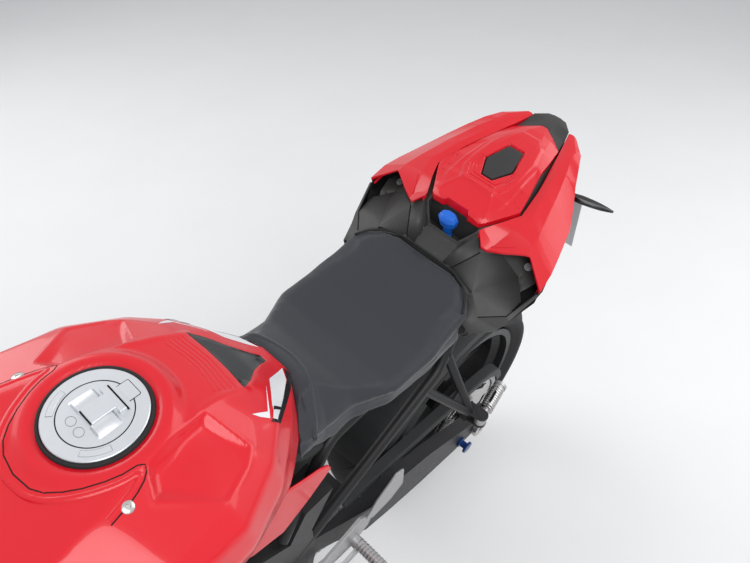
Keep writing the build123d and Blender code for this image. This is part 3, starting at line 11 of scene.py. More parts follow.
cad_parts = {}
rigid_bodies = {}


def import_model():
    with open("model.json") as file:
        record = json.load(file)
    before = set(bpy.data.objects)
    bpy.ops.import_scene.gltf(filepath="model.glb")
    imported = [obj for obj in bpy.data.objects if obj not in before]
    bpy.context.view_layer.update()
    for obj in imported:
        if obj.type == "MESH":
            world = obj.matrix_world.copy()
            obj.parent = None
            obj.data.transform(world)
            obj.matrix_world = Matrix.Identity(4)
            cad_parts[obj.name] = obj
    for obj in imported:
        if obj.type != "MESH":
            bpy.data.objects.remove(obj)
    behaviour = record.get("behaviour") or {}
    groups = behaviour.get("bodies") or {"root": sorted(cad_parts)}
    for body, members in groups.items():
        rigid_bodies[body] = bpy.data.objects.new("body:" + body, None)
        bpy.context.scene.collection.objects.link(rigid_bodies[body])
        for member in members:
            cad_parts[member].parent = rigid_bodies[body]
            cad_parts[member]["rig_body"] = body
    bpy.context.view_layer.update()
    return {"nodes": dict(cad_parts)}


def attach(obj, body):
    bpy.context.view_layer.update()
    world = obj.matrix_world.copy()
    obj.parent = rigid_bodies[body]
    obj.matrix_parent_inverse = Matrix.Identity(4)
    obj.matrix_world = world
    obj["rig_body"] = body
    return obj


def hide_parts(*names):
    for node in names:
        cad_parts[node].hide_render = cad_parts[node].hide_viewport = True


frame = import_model()
NODES = frame["nodes"]

# The bike frame is in millimetres: X forward from the rear axle, Y left, Z up in the wheels' plane.
LEAN = math.radians(10.5)
MIDDLE = Vector((0.684, 0.177, -0.00159))
TO_ROW = Matrix.Translation(-MIDDLE) @ Matrix.Rotation(-LEAN, 4, "X") @ Matrix.Scale(0.001, 4)
TO_BIKE = TO_ROW.inverted()
RAKE = math.radians(24.5)
FRONT_AXLE = Vector((1400, 0, 298.45))
REAR_AXLE = Vector((0, 0, 315))
FORK_UP = Vector((-math.sin(RAKE), 0, math.cos(RAKE)))
FORK_AHEAD = Vector((math.cos(RAKE), 0, math.sin(RAKE)))
LEFT = Vector((0, 1, 0))
SIDES = ((1, "left"), (-1, "right"))


# Materials

# Every finish by its name, for the CAD's slots
FINISHES = {}


def fill(tree, node, inputs):
    """Gives each input a number, a colour of three parts or the output of another node."""
    for label, value in inputs.items():
        if isinstance(value, bpy.types.NodeSocket):
            tree.links.new(value, node.inputs[label])
        else:
            node.inputs[label].default_value = (*value, 1.0) if isinstance(value, tuple) else value


def add_node(tree, kind, inputs, output=0, **settings):
    """A new node with its settings and inputs; gives one of its outputs."""
    node = tree.nodes.new(f"ShaderNode{kind}")
    for label, value in settings.items():
        setattr(node, label, value)
    fill(tree, node, inputs)
    return node.outputs[output]


def new_finish(name):
    """A new node material, its tree and its object coordinates in metres."""
    FINISHES[name] = bpy.data.materials.new(name)
    FINISHES[name].use_nodes = True
    tree = FINISHES[name].node_tree
    return FINISHES[name], tree, add_node(tree, "TexCoord", {}, "Object")


def shade(tree, inputs):
    fill(tree, tree.nodes["Principled BSDF"], inputs)


def noise(tree, vector, scale, detail):
    inputs = {"Scale": scale, "Detail": detail, "Roughness": 0.55, "Vector": vector}
    return add_node(tree, "TexNoise", inputs, "Fac")


def spread(tree, value, low, high, start=0.0, end=1.0):
    """value from start to end becomes low to high."""
    inputs = {"From Min": start, "From Max": end, "To Min": low, "To Max": high, "Value": value}
    return add_node(tree, "MapRange", inputs, "Result")


def blend_colours(tree, fac, first, second):
    return add_node(tree, "Mix", {6: first, 7: second, 0: fac}, 2, data_type="RGBA")


def finish_of(name, colour, rough, metal=0.0, coat=0.0, vary=0.08, patch=9.0, grain=None, sheen=0.0,
              dust=0.0, level=0.5):
    """A finish that varies in patches, with wear on edges and a grain (pattern, scale, depth in m)."""
    made, tree, vector = new_finish(name)
    dark = tuple(c * (1 - vary) for c in colour)
    light = tuple(min(1.0, c * (1 + vary) + 0.01 * vary) for c in colour)
    tint = blend_colours(tree, noise(tree, vector, patch, 5.0), dark, light)
    if dust:
        edges = spread(tree, add_node(tree, "NewGeometry", {}, "Pointiness"), 0.0, dust, 0.50, 0.56)
        tint = blend_colours(tree, edges, tint, tuple(min(1.0, 0.5 * c + 0.16) for c in colour))
    fine = noise(tree, vector, 6 * patch, 4.0)
    shade(tree, {
        "Base Color": tint, "Roughness": spread(tree, fine, rough * 0.85, min(1.0, rough * 1.18)),
        "Metallic": metal, "Coat Weight": coat, "Coat Roughness": 0.03, "Sheen Weight": sheen,
        "Specular IOR Level": level,
    })
    if grain:
        pattern, scale, depth = grain
        if pattern == "cells":
            inputs = {"Scale": scale, "Vector": vector}
            height = add_node(tree, "TexVoronoi", inputs, "Distance", feature="DISTANCE_TO_EDGE")
        else:
            height = noise(tree, vector, scale, 2.0)
        inputs = {"Strength": 0.5, "Distance": depth, "Height": height}
        shade(tree, {"Normal": add_node(tree, "Bump", inputs, "Normal")})
    return made


def glass_of(name, colour, rough, through, alpha=1.0):
    """A clear or tinted plastic that varies a little in roughness."""
    made, tree, vector = new_finish(name)
    fine = noise(tree, vector, 30.0, 3.0)
    shade(tree, {
        "Roughness": spread(tree, fine, rough * 0.7, rough * 1.3),
        "Base Color": blend_colours(tree, fine, tuple(c * 0.96 for c in colour), colour),
        "Transmission Weight": through, "IOR": 1.3, "Alpha": alpha,
    })
    return made


RED = finish_of("red_paint", (0.62, 0.006, 0.016), 0.30, coat=0.30, vary=0.03, patch=6.0, level=0.28)
WHITE = finish_of("white_stripe", (0.74, 0.75, 0.77), 0.3, coat=0.4, vary=0.03, patch=12.0)
BLACK_GLOSS = finish_of("black_stripe", (0.006, 0.006, 0.007), 0.16, coat=0.25, vary=0.1, level=0.25)
finish_of("black_paint", (0.01, 0.01, 0.011), 0.38, vary=0.15, patch=14.0, dust=0.08,
          grain=("noise", 700, 0.0001), level=0.2)
CAST = finish_of("cast_alloy", (0.40, 0.40, 0.41), 0.44, metal=0.9, vary=0.10, patch=22.0,
                 grain=("noise", 1300, 0.00025), dust=0.12)
DARK_ALLOY = finish_of("dark_alloy", (0.018, 0.018, 0.02), 0.45, metal=0.2, vary=0.12, patch=20.0,
                       grain=("noise", 1200, 0.0002), dust=0.10, level=0.25)
STEEL = finish_of("steel", (0.47, 0.46, 0.45), 0.26, metal=1.0, patch=30.0, grain=("noise", 500, 0.00006))
SATIN = finish_of("satin_silver", (0.56, 0.58, 0.61), 0.36, metal=0.65, vary=0.04, patch=18.0,
                  grain=("noise", 2600, 0.0001))
PLASTIC = finish_of("black_plastic", (0.016, 0.017, 0.018), 0.52, vary=0.12, patch=16.0,
                    grain=("cells", 1100, 0.00022), dust=0.08, level=0.25)
TRAY = finish_of("tail_plastic", (0.032, 0.032, 0.031), 0.50, patch=12.0,
                 grain=("cells", 1300, 0.00016), dust=0.08, level=0.3)
VINYL = finish_of("seat_cover", (0.026, 0.028, 0.034), 0.52, vary=0.05, sheen=0.12,
                  grain=("cells", 850, 0.0002), level=0.25)
RUBBER = finish_of("rubber", (0.014, 0.014, 0.015), 0.68, vary=0.12, patch=25.0,
                   grain=("noise", 900, 0.0002), level=0.25)
TYRE = finish_of("tyre_rubber", (0.018, 0.018, 0.019), 0.78, vary=0.16, patch=20.0,
                 grain=("noise", 1000, 0.0003), dust=0.06, level=0.3)
glass_of("clear_lens", (0.95, 0.96, 0.97), 0.05, 0.85)
glass_of("tinted_screen", (0.10, 0.10, 0.11), 0.06, 0.7, 0.85)
RED_LENS = finish_of("red_lens", (0.35, 0.006, 0.008), 0.14, coat=1.0, vary=0.1, patch=40.0)
BLUE = finish_of("blue_plastic", (0.006, 0.115, 0.56), 0.32, coat=0.2, patch=60.0, level=0.3,
                 grain=("noise", 1500, 0.0001))
MIRROR = finish_of("mirror_glass", (0.72, 0.74, 0.76), 0.05, metal=1.0, vary=0.02)
BLUE_ALLOY = finish_of("blue_alloy", (0.004, 0.035, 0.16), 0.3, metal=0.6, patch=60.0)
PLATE = finish_of("plate", (0.55, 0.56, 0.57), 0.40, vary=0.05, patch=15.0, grain=("noise", 400, 0.0001))
GREY = finish_of("grey_plastic", (0.16, 0.165, 0.17), 0.45, vary=0.07, patch=18.0,
                 grain=("cells", 1500, 0.0001))
SEAM = finish_of("seam_shadow", (0.03, 0.003, 0.004), 0.6, vary=0.1, level=0.2)
# Painted shade: a near-black finish laid where gaps, slots, holes and grooves lie in shadow.
SHADOW = finish_of("dark_gap", (0.005, 0.005, 0.005), 0.7, vary=0.1, level=0.1)
PAD = finish_of("pad_rubber", (0.01, 0.01, 0.011), 0.62, vary=0.1, patch=30.0,
                grain=("noise", 1600, 0.0002))
# The CAD's slot for tyres has a name of its own.
FINISHES["tyre"] = TYRE

# Each CAD node takes the finish of its own material slot, and the paddock spools are blue.
for label, node in NODES.items():
    for index, held in enumerate(node.data.materials):
        finish = FINISHES.get(held.name.split(".")[0], PLASTIC)
        node.data.materials[index] = BLUE_ALLOY if label == "paddock_spools" else finish


# Mesh building, in bike frame millimetres


def angles(count, lag=0.0):
    """Even angles round a circle; the first is lag steps on."""
    return [2 * math.pi * (k + lag) / count for k in range(count)]


def round_y(centre, angle, radius, y=0.0):
    """The point at an angle and radius in the wheels' plane, and y to the left of it."""
    return Vector(centre) + Vector((math.cos(angle) * radius, y, math.sin(angle) * radius))


def about(side, other, angle):
    """The direction at an angle from side towards other."""
    return side * math.cos(angle) + other * math.sin(angle)


def beside(points, i):
    """The vector from the point before i to the point after it."""
    return points[min(i + 1, len(points) - 1)] - points[max(i - 1, 0)]


class Shape:
    """Vertices and faces gathered from several forms."""

    def __init__(self):
        self.verts = []
        self.faces = []

    def add(self, verts, faces):
        start = len(self.verts)
        self.verts += [Vector(v) for v in verts]
        self.faces += [tuple(start + i for i in f) for f in faces]
        return self

    def grid(self, rows, close_u=True, close_v=False, ends=True):
        """Quads over rows of points, closed along or across, with flat ends."""
        count = len(rows[0])
        total = len(rows) * count
        faces = []
        for r in range(len(rows) if close_v else len(rows) - 1):
            near, far = r * count, (r + 1) % len(rows) * count
            for c in range(count if close_u else count - 1):
                after = (c + 1) % count
                faces.append((near + c, near + after, far + after, far + c))
        if ends:
            faces += [tuple(range(count))[::-1], tuple(range(total - count, total))]
        return self.add([p for row in rows for p in row], faces)

    def turned(self, profile, start, axis, steps=40, ends=True):
        """A form turned about axis: (radius, height) rings, hexagonal ones with a third item."""
        axis = Vector(axis).normalized()
        side = axis.orthogonal().normalized()
        other = axis.cross(side)
        rows = []
        for radius, height, *hexagonal in profile:
            rows.append([])
            for a in angles(steps):
                flat = math.cos((a + math.pi / 6) % (math.pi / 3) - math.pi / 6) if hexagonal else 1
                rows[-1].append(Vector(start) + axis * height + about(side, other, a) * (radius / flat))
        return self.grid(rows, ends=ends)

    def pipe(self, points, radius, sides=12, ends=True):
        """A round tube along points; radius may be one value for each point."""
        points = [Vector(p) for p in points]
        radii = radius if isinstance(radius, list) else [radius] * len(points)
        rows = []
        up = beside(points, 0).normalized().orthogonal()
        for i, p in enumerate(points):
            ahead = beside(points, i).normalized()
            up = (up - ahead * up.dot(ahead)).normalized()
            side = ahead.cross(up)
            rows.append([p + about(up, side, a) * radii[i] for a in angles(sides)])
        return self.grid(rows, ends=ends)

    def prism(self, corners, depth):
        """A flat outline of 3-D corners, made thick by the vector depth."""
        corners = [Vector(c) for c in corners]
        return self.grid([corners, [c + Vector(depth) for c in corners]])

    def bolt(self, at, axis, r, h):
        """A socket head screw of radius r and height h, with a washer, a chamfer and a hexagon socket."""
        return self.turned([(1.45 * r, 0), (1.45 * r, 0.22 * r), (r, 0.22 * r), (r, h - 0.15 * r),
                            (0.85 * r, h), (0.46 * r, h, True), (0.44 * r, 0.45 * h, True)], at, axis, 18)


def edit(mesh, *steps):
    """Runs steps on the mesh's vertices, edges and faces."""
    made = bmesh.new()
    made.from_mesh(mesh)
    for step in steps:
        step(made)
    made.to_mesh(mesh)
    made.free()
    return mesh


def weld(made, distance=0.01):
    """Joins vertices; the distance is in the mesh's own unit."""
    bmesh.ops.remove_doubles(made, verts=made.verts, dist=distance)


def face_out(made):
    bmesh.ops.recalc_face_normals(made, faces=made.faces)


# CAD nodes that a piece of the scene replaces
REPLACED = set()


def piece(name, shape, material, body="chassis", **look):
    """An object from a shape in the bike frame, that rides on a body."""
    mesh = bpy.data.meshes.new(name)
    mesh.from_pydata([TO_ROW @ v for v in shape.verts], [], shape.faces)
    edit(mesh, lambda made: weld(made, 1e-7), face_out)
    return settle(name, mesh, material, body, **look)


def settle(name, mesh, material, body="chassis", replaces=(), sharp=35.0, bevel=0.0, segments=2,
           subdivide=0):
    """An object from a mesh in the row's frame; sharp is an angle in degrees, bevel in millimetres."""
    made = bpy.data.objects.new(name, mesh)
    bpy.context.scene.collection.objects.link(made)
    mesh.materials.append(material)
    mesh.shade_smooth()
    if sharp < 180:
        mesh.set_sharp_from_angle(angle=math.radians(sharp))
    if bevel:
        edge = made.modifiers.new("edges", "BEVEL")
        edge.width = bevel * 0.001
        edge.segments = segments
        edge.limit_method = "ANGLE"
        edge.angle_limit = math.radians(24)
    if subdivide:
        finer = made.modifiers.new("finer", "SUBSURF")
        finer.levels = finer.render_levels = subdivide
    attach(made, body)
    if replaces:
        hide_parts(*replaces)
        REPLACED.update(replaces)
    return made


def copy_of(node):
    """The CAD node's own mesh in the bike frame, for a piece that reshapes it."""
    mesh = NODES[node].data.copy()
    mesh.transform(TO_BIKE)
    mesh.materials.clear()
    return mesh


def placed(mesh):
    """The mesh, moved from the bike frame to the row's frame."""
    mesh.transform(TO_ROW)
    return mesh


def held_by(mesh):
    """A plain object round a mesh, for its modifiers."""
    holder = bpy.data.objects.new("holder", mesh)
    bpy.context.scene.collection.objects.link(holder)
    return holder


def smoothing(holder, rounds, group=""):
    change = holder.modifiers.new("smooth", "SMOOTH")
    change.factor = 0.5
    change.iterations = rounds
    change.vertex_group = group


def result_of(holder):
    """The mesh that the holder's modifiers make; the holder is removed."""
    graph = bpy.context.evaluated_depsgraph_get()
    result = bpy.data.meshes.new_from_object(holder.evaluated_get(graph))
    bpy.data.objects.remove(holder)
    return result


def remeshed(mesh, voxel, rounds):
    """An even skin over the mesh, with voxels in millimetres, then smoothed."""
    holder = held_by(mesh)
    change = holder.modifiers.new("remesh", "REMESH")
    change.mode = "VOXEL"
    change.voxel_size = voxel
    smoothing(holder, rounds)
    return result_of(holder)


def evened(mesh, free, rounds):
    """The mesh with its free vertices smoothed."""
    holder = held_by(mesh)
    holder.vertex_groups.new(name="free").add([int(i) for i in np.nonzero(free)[0]], 1.0, "REPLACE")
    smoothing(holder, rounds, "free")
    return result_of(holder)


def read(mesh, label="co"):
    """Each vertex's place (co) or normal, as rows."""
    found = np.zeros(len(mesh.vertices) * 3)
    mesh.vertices.foreach_get(label, found)
    return found.reshape(-1, 3)


def write(mesh, points):
    mesh.vertices.foreach_set("co", points.ravel())
    mesh.update()
    return mesh


def left_plan(points):
    """Plan coordinates of points, with the right side folded over to the left."""
    return np.column_stack([points[:, 0], np.abs(points[:, 1])])


def smooth_step(value, low, high):
    t = np.clip((value - low) / (high - low), 0.0, 1.0)
    return t * t * (3 - 2 * t)


def near_line(points, line):
    """Distance in plan from each point to a broken line."""
    best = np.full(len(points), 1e9)
    for a, b in zip(line[:-1], line[1:]):
        a, b = np.array(a, float), np.array(b, float)
        d = b - a
        t = np.clip(((points - a) @ d) / (d @ d), 0, 1)
        best = np.minimum(best, np.linalg.norm(points - a - t[:, None] * d, axis=1))
    return best


def inside_depth(points, polygon):
    """How far inside a polygon each point is in plan, in millimetres; outside is negative."""
    x, y = points[:, 0], points[:, 1]
    within = np.zeros(len(points), bool)
    for a, b in zip(polygon, polygon[1:] + polygon[:1]):
        slope = (b[0] - a[0]) / (b[1] - a[1] or 1)
        within ^= ((a[1] > y) != (b[1] > y)) & (x < a[0] + (y - a[1]) * slope)
    nearest = near_line(points, polygon + polygon[:1])
    return np.where(within, nearest, -nearest)


# Stage, camera and light


def make_stage():
    """A pale floor, a white surround that lights softly, and three lamps."""
    scene = bpy.context.scene
    scene.view_settings.view_transform = "Standard"
    half = 14.0
    floor_mesh = bpy.data.meshes.new("floor")
    floor_mesh.from_pydata([(-half, -half, 0), (half, -half, 0), (half, half, 0), (-half, half, 0)], [],
                           [(0, 1, 2, 3)])
    floor = bpy.data.objects.new("floor", floor_mesh)
    scene.collection.objects.link(floor)
    made, tree, vector = new_finish("floor")
    tint = blend_colours(tree, noise(tree, vector, 3.0, 3.0), (0.80, 0.80, 0.80), (0.84, 0.84, 0.84))
    shade(tree, {"Base Color": tint, "Roughness": 0.9})
    floor_mesh.materials.append(made)

    # Rays that are seen directly meet plain white, and all others a cooler and dimmer light.
    world = bpy.data.worlds.new("world")
    scene.world = world
    world.use_nodes = True
    tree = world.node_tree
    tree.nodes.clear()
    rays = tree.nodes.new("ShaderNodeLightPath").outputs
    direct = rays["Is Camera Ray"]
    for other in ("Is Transmission Ray", "Is Glossy Ray"):
        direct = add_node(tree, "Math", {0: direct, 1: rays[other]}, operation="MAXIMUM")
    lit = add_node(tree, "Background", {"Color": (0.93, 0.96, 1.0), "Strength": 0.52})
    seen = add_node(tree, "Background", {"Color": (1.0, 1.0, 1.0), "Strength": 1.0})
    surround = add_node(tree, "MixShader", {0: direct, 1: lit, 2: seen})
    fill(tree, tree.nodes.new("ShaderNodeOutputWorld"), {"Surface": surround})

    # Each lamp: place and target in metres, size and power.
    for name, spot, target, size, power in (
        ("key", (1.2, 2.6, 3.6), (0.0, 0.0, 0.6), 2.6, 115.0),
        ("fill", (-3.0, 1.6, 2.4), (-0.3, 0.0, 0.6), 2.4, 45.0),
        ("back", (0.4, -3.4, 2.8), (0.0, 0.0, 0.6), 2.8, 60.0),
    ):
        data = bpy.data.lights.new(name, "AREA")
        data.shape = "SQUARE"
        data.size = size
        data.energy = power
        lamp = bpy.data.objects.new(name, data)
        lamp.location = spot
        lamp.rotation_euler = (Vector(target) - Vector(spot)).to_track_quat("-Z", "Y").to_euler()
        scene.collection.objects.link(lamp)


def make_camera():
    """The photograph's viewpoint, above the left of the steering, looking back and down."""
    eye = TO_ROW @ Vector((940.1, 474.2, 1705.4))
    turn = TO_ROW.to_3x3().normalized()
    view = (turn @ Vector((-0.5653, -0.4139, -0.7135))).normalized()
    right = turn @ Vector((-0.6789, 0.7248, 0.1174))
    right = (right - view * right.dot(view)).normalized()
    data = bpy.data.cameras.new("camera")
    data.sensor_width = 36.0
    data.lens = 33.49
    data.clip_start = 0.02
    data.clip_end = 60.0
    camera = bpy.data.objects.new("camera", data)
    facing = Matrix((right, right.cross(view), -view)).transposed().to_4x4()
    camera.matrix_world = Matrix.Translation(eye) @ facing
    bpy.context.scene.collection.objects.link(camera)
    bpy.context.scene.camera = camera


make_stage()
make_camera()


# Pieces that follow the CAD's own surfaces


def flatten(made):
    """Joins faces that lie within a degree of each other."""
    bmesh.ops.dissolve_limit(made, angle_limit=math.radians(1), verts=made.verts, edges=made.edges)


def refined(node, name, material=None, bevel=1.2, sharp=28.0, subdivide=0):
    """The CAD node's form with rounded edges and smooth shading across its small facets."""
    mesh = placed(edit(copy_of(node), weld, flatten, face_out))
    held = NODES[node]
    settle(name, mesh, material or held.data.materials[0], held["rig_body"], (node,), sharp, bevel,
           subdivide=subdivide)


def surface_of(mesh):
    """A tree of a mesh in the bike frame, for laying thin pieces on it."""
    made = bmesh.new()
    made.from_mesh(mesh)
    surface = BVHTree.FromBMesh(made)
    made.free()
    return surface


def carved(node, name, material, length, carve, sharp):
    """A CAD node with edges split to a length and points moved by carve(points, normals)."""
    def split(made):
        bmesh.ops.triangulate(made, faces=made.faces)
        for _ in range(8):
            long_edges = [e for e in made.edges if e.calc_length() > length]
            if not long_edges:
                break
            bmesh.ops.subdivide_edges(made, edges=long_edges, cuts=1)
            bmesh.ops.triangulate(made, faces=[f for f in made.faces if len(f.verts) > 3])

    mesh = edit(copy_of(node), weld, face_out, split)
    write(mesh, carve(read(mesh), read(mesh, "normal")))
    surface = surface_of(mesh)
    settle(name, placed(mesh), material, replaces=(node,), sharp=sharp)
    return surface


def drop(surface, x, y, lift=0.0):
    """The point straight below (x, y) on a surface, moved out along its normal by lift."""
    spot, normal, _, _ = surface.ray_cast(Vector((x, y, 1200)), Vector((0, 0, -1)))
    if spot is None:
        spot, normal, _, _ = surface.find_nearest(Vector((x, y, 930)))
    return spot + (-normal if normal.z < 0 else normal) * lift


def dense(points, step, closed=False):
    """The points of a broken line, no further apart than step."""
    out = []
    points = [Vector(p) for p in points]
    for a, b in zip(points, points[1:] + points[:closed]):
        parts = max(1, math.ceil((b - a).length / step))
        out += [a.lerp(b, k / parts) for k in range(parts)]
    return out if closed else out + points[-1:]


def smooth_line(points, rounds=2):
    """An open line with its corners cut, for soft outlines."""
    points = [Vector(p) for p in points]
    for _ in range(rounds):
        cut = [a.lerp(b, share) for a, b in zip(points, points[1:]) for share in (0.25, 0.75)]
        points = points[:1] + cut + points[-1:]
    return points


def whole(half):
    """An outline from its left half; the right half follows backwards."""
    return half + [(x, -y) for x, y in half[::-1]]


def laid(name, outline, surface, material, lift, thick=0.35, sides=(1, -1)):
    """A thin graphic or panel with a plan outline, laid on a surface from above."""
    shape = Shape()
    step = 5.0
    for side in sides:
        edge = dense([(x, side * y) for x, y in outline], step, closed=True)
        low, high = np.array(edge).min(axis=0), np.array(edge).max(axis=0)
        inner = [(x, y) for x in np.arange(low[0], high[0], step) for y in np.arange(low[1], high[1], step)]
        depth = inside_depth(np.array(inner), [tuple(p) for p in edge])
        points = edge + [Vector(p) for p, d in zip(inner, depth) if d > 0.45 * step]
        borders = [(i, (i + 1) % len(edge)) for i in range(len(edge))]
        flat, _, faces, _, _, _ = delaunay_2d_cdt(points, borders, [], 1, 0.001)
        count = len(flat)
        faces = [tuple(f) for f in faces]
        faces += [tuple(count + i for i in f)[::-1] for f in faces]
        faces += [(a, b, count + b, count + a) for a, b in borders]
        shape.add([drop(surface, p.x, p.y, up) for up in (lift, lift - thick) for p in flat], faces)
    return piece(name, shape, material, sharp=50.0)


def ridge(width, height):
    """Profile of a raised strip or a dark seam with sloped sides."""
    return [(-0.5 * width, -0.4), (-0.28 * width, height), (0.28 * width, height), (0.5 * width, -0.4)]


def ribbon(name, line, surface, profile, material, sides=(1, -1), step=4.0, sharp=60.0):
    """A strip along a plan line on a surface; the profile has (across, up) pairs."""
    shape = Shape()
    for side in sides:
        points = dense([(p[0], side * p[1], 0) for p in line], step)
        rows = []
        for i, p in enumerate(points):
            ahead = beside(points, i)
            across = Vector((-ahead.y, ahead.x, 0)).normalized()
            rows.append([drop(surface, *(p + across * wide).xy, up) for wide, up in profile])
        shape.grid(rows)
    return piece(name, shape, material, sharp=sharp)


# Tank

CAP_TILT = math.radians(4.2)
CAP_AXIS = Vector((math.sin(CAP_TILT), 0, math.cos(CAP_TILT)))
CAP_BACK = Vector((-math.cos(CAP_TILT), 0, math.sin(CAP_TILT)))
CAP_CENTRE = Vector((778, 0, 998))
LID_R, RING_R, RING_TOP = 43.4, 60.4, 4.1
TAB_END, TAB_HALF = 51.0, 13.0

# Plan outlines on the left as (x, y); the right side mirrors them.
SCOOP = [(772, 88), (787, 123), (726, 166), (682, 147), (664, 130), (684, 72)]
BLACK_PANEL = [(609, 0), (611, 22), (614.5, 61), (592, 47), (572, 29), (550, 15), (531, 6.4), (530, 0)]
TOP_CREASE = [(878, 0), (873, 36), (846, 62), (806, 82), (771, 86), (740, 80), (710, 74), (680, 67),
              (648, 62), (614, 60)]
WHITE_ARROW = [(518, 26), (562, 48.5), (595, 92), (598, 98), (608, 109), (603, 111.5), (565, 80),
               (533, 51.5)]
WHITE_SLIVER = [(580, 62.5), (608.5, 99), (632.5, 97), (624.5, 103), (612.5, 108), (604, 96.5)]
BLACK_BORDER = [(514, 26), (518, 46), (539.5, 67), (570.5, 91), (601.5, 115), (614, 112.5), (609, 109),
                (603, 111.5), (565, 80), (532, 51.5)]
BLACK_NOTCH = [(593.5, 93), (581, 93), (585.5, 97), (598, 98)]
FRONT_SEAM = [(878, 0), (873, 36), (846, 62), (806, 82), (773, 86), (778, 98), (803, 110), (836, 118)]
FRONT_LIP = [(886, 0), (881, 39), (851, 68), (809, 89), (782, 93), (787, 98), (807, 105), (836, 113)]


def cap_point(back, left, up):
    return CAP_CENTRE + CAP_BACK * back + LEFT * left + CAP_AXIS * up


def on_cap(points, up):
    return [cap_point(back, left, up) for back, left in points]


def cap_turned(profile, steps=96, ends=False):
    return Shape().turned(profile, CAP_CENTRE, CAP_AXIS, steps, ends)


def sheet_terms(x, y):
    """Terms of a sheet that is quadratic in x and y."""
    return np.array([x * 0 + 1, x, y, x * x, x * y, y * y])


def scoop_plugs(mesh):
    """Fills the solid's scoops up to a sheet through the skin round them, for shallower ones."""
    surface = surface_of(mesh)
    middle = sum((Vector(p) for p in SCOOP), Vector((0, 0))) / len(SCOOP)
    plugs = Shape()
    for side in (1, -1):
        spots = []
        for grow in (7.0, 13.0):
            for p in dense(SCOOP, 8.0, closed=True):
                q = p + (p - middle).normalized() * grow
                spots.append(drop(surface, q.x, side * q.y))
        x, y, z = np.array(spots).T
        sheet, _, _, _ = np.linalg.lstsq(sheet_terms(x, y).T, z, rcond=None)
        rows = []
        for share, down in ((0.02, 0.4), (0.4, 0.4), (0.75, 0.4), (1.0, 0.6), (1.13, 2.5)):
            rows.append([])
            for p in dense(SCOOP, 9.0, closed=True):
                x, y = middle + (p - middle) * share
                rows[-1].append(Vector((x, side * y, sheet @ sheet_terms(x, side * y) - down)))
        rows.append([p - Vector((0, 0, 60)) for p in rows[-1]])
        plugs.grid(rows)
    extra = bpy.data.meshes.new("plugs")
    extra.from_pydata(plugs.verts, [], plugs.faces)
    made = bmesh.new()
    made.from_mesh(extra)
    face_out(made)
    made.from_mesh(mesh)
    made.to_mesh(mesh)
    made.free()
    bpy.data.meshes.remove(extra)
    return mesh


def open_neck(made):
    """Takes away the skin above the filler neck."""
    gone = []
    for face in made.faces:
        away = face.calc_center_median() - CAP_CENTRE
        high = away.dot(CAP_AXIS)
        if high > -90 and (away - CAP_AXIS * high).length < 58.5:
            gone.append(face)
    bmesh.ops.delete(made, geom=gone, context="FACES")


def tank_cover():
    """Tank cover with soft flanks, a crisp top plane, scoops and a rim round the cap."""
    mesh = remeshed(scoop_plugs(copy_of("fuel_tank")), 3.6, 22)
    mesh = evened(mesh, read(mesh)[:, 2] < 872, 150)
    points = read(mesh)
    normals = read(mesh, "normal")
    upper = smooth_step(normals[:, 2], 0.1, 0.4) * smooth_step(points[:, 2], 840, 870)
    out = normals * upper[:, None]

    # Millimetres up or down: the crease, the scoop's edge, its deep front wall and its lip
    plan = left_plan(points)
    crease = np.exp(-(near_line(plan, TOP_CREASE) / 5.0) ** 2)
    depth = inside_depth(plan, SCOOP)
    from_cap = near_line(plan, SCOOP[:1] + SCOOP[-1:])
    wall = smooth_step(depth, -1.0, 11.0) * (1 - smooth_step(from_cap, 14, 82))
    lip = np.exp(-((depth + 2.6) / 2.6) ** 2)
    height = 1.6 * crease - 1.9 * smooth_step(depth, -1.0, 2.6) - 7.0 * wall + 0.6 * lip
    points += out * height[:, None]
    panel = BLACK_PANEL + [(x, -y) for x, y in BLACK_PANEL[-2:0:-1]]
    points -= out * smooth_step(inside_depth(points[:, :2], panel), -1.0, 2.0)[:, None]

    # Round the cap the skin dips to the ring's groove and rises to a soft rim.
    axis = np.array(CAP_AXIS)
    local = points - np.array(CAP_CENTRE)
    height = local @ axis
    radius = np.linalg.norm(local - height[:, None] * axis, axis=1)
    rim = 4.2 * smooth_step(radius, 66, 74) - 2.6 * smooth_step(radius, 78, 96)
    share = np.where((height > -26) & (radius < 104), 1 - smooth_step(radius, 82, 102), 0.0)
    points += (share * (rim - 1.6 - height))[:, None] * axis
    edit(write(mesh, points), open_neck)
    surface = surface_of(mesh)
    settle("tank_cover", placed(mesh), RED, replaces=("fuel_tank",), sharp=180)
    piece("filler_neck", cap_turned([(60.2, -1.4), (60.2, -3.9), (30, -4.0), (28.4, -5.2), (28, -12),
                                     (28, -68), (20, -69)], 64), SATIN, sharp=40)
    return surface


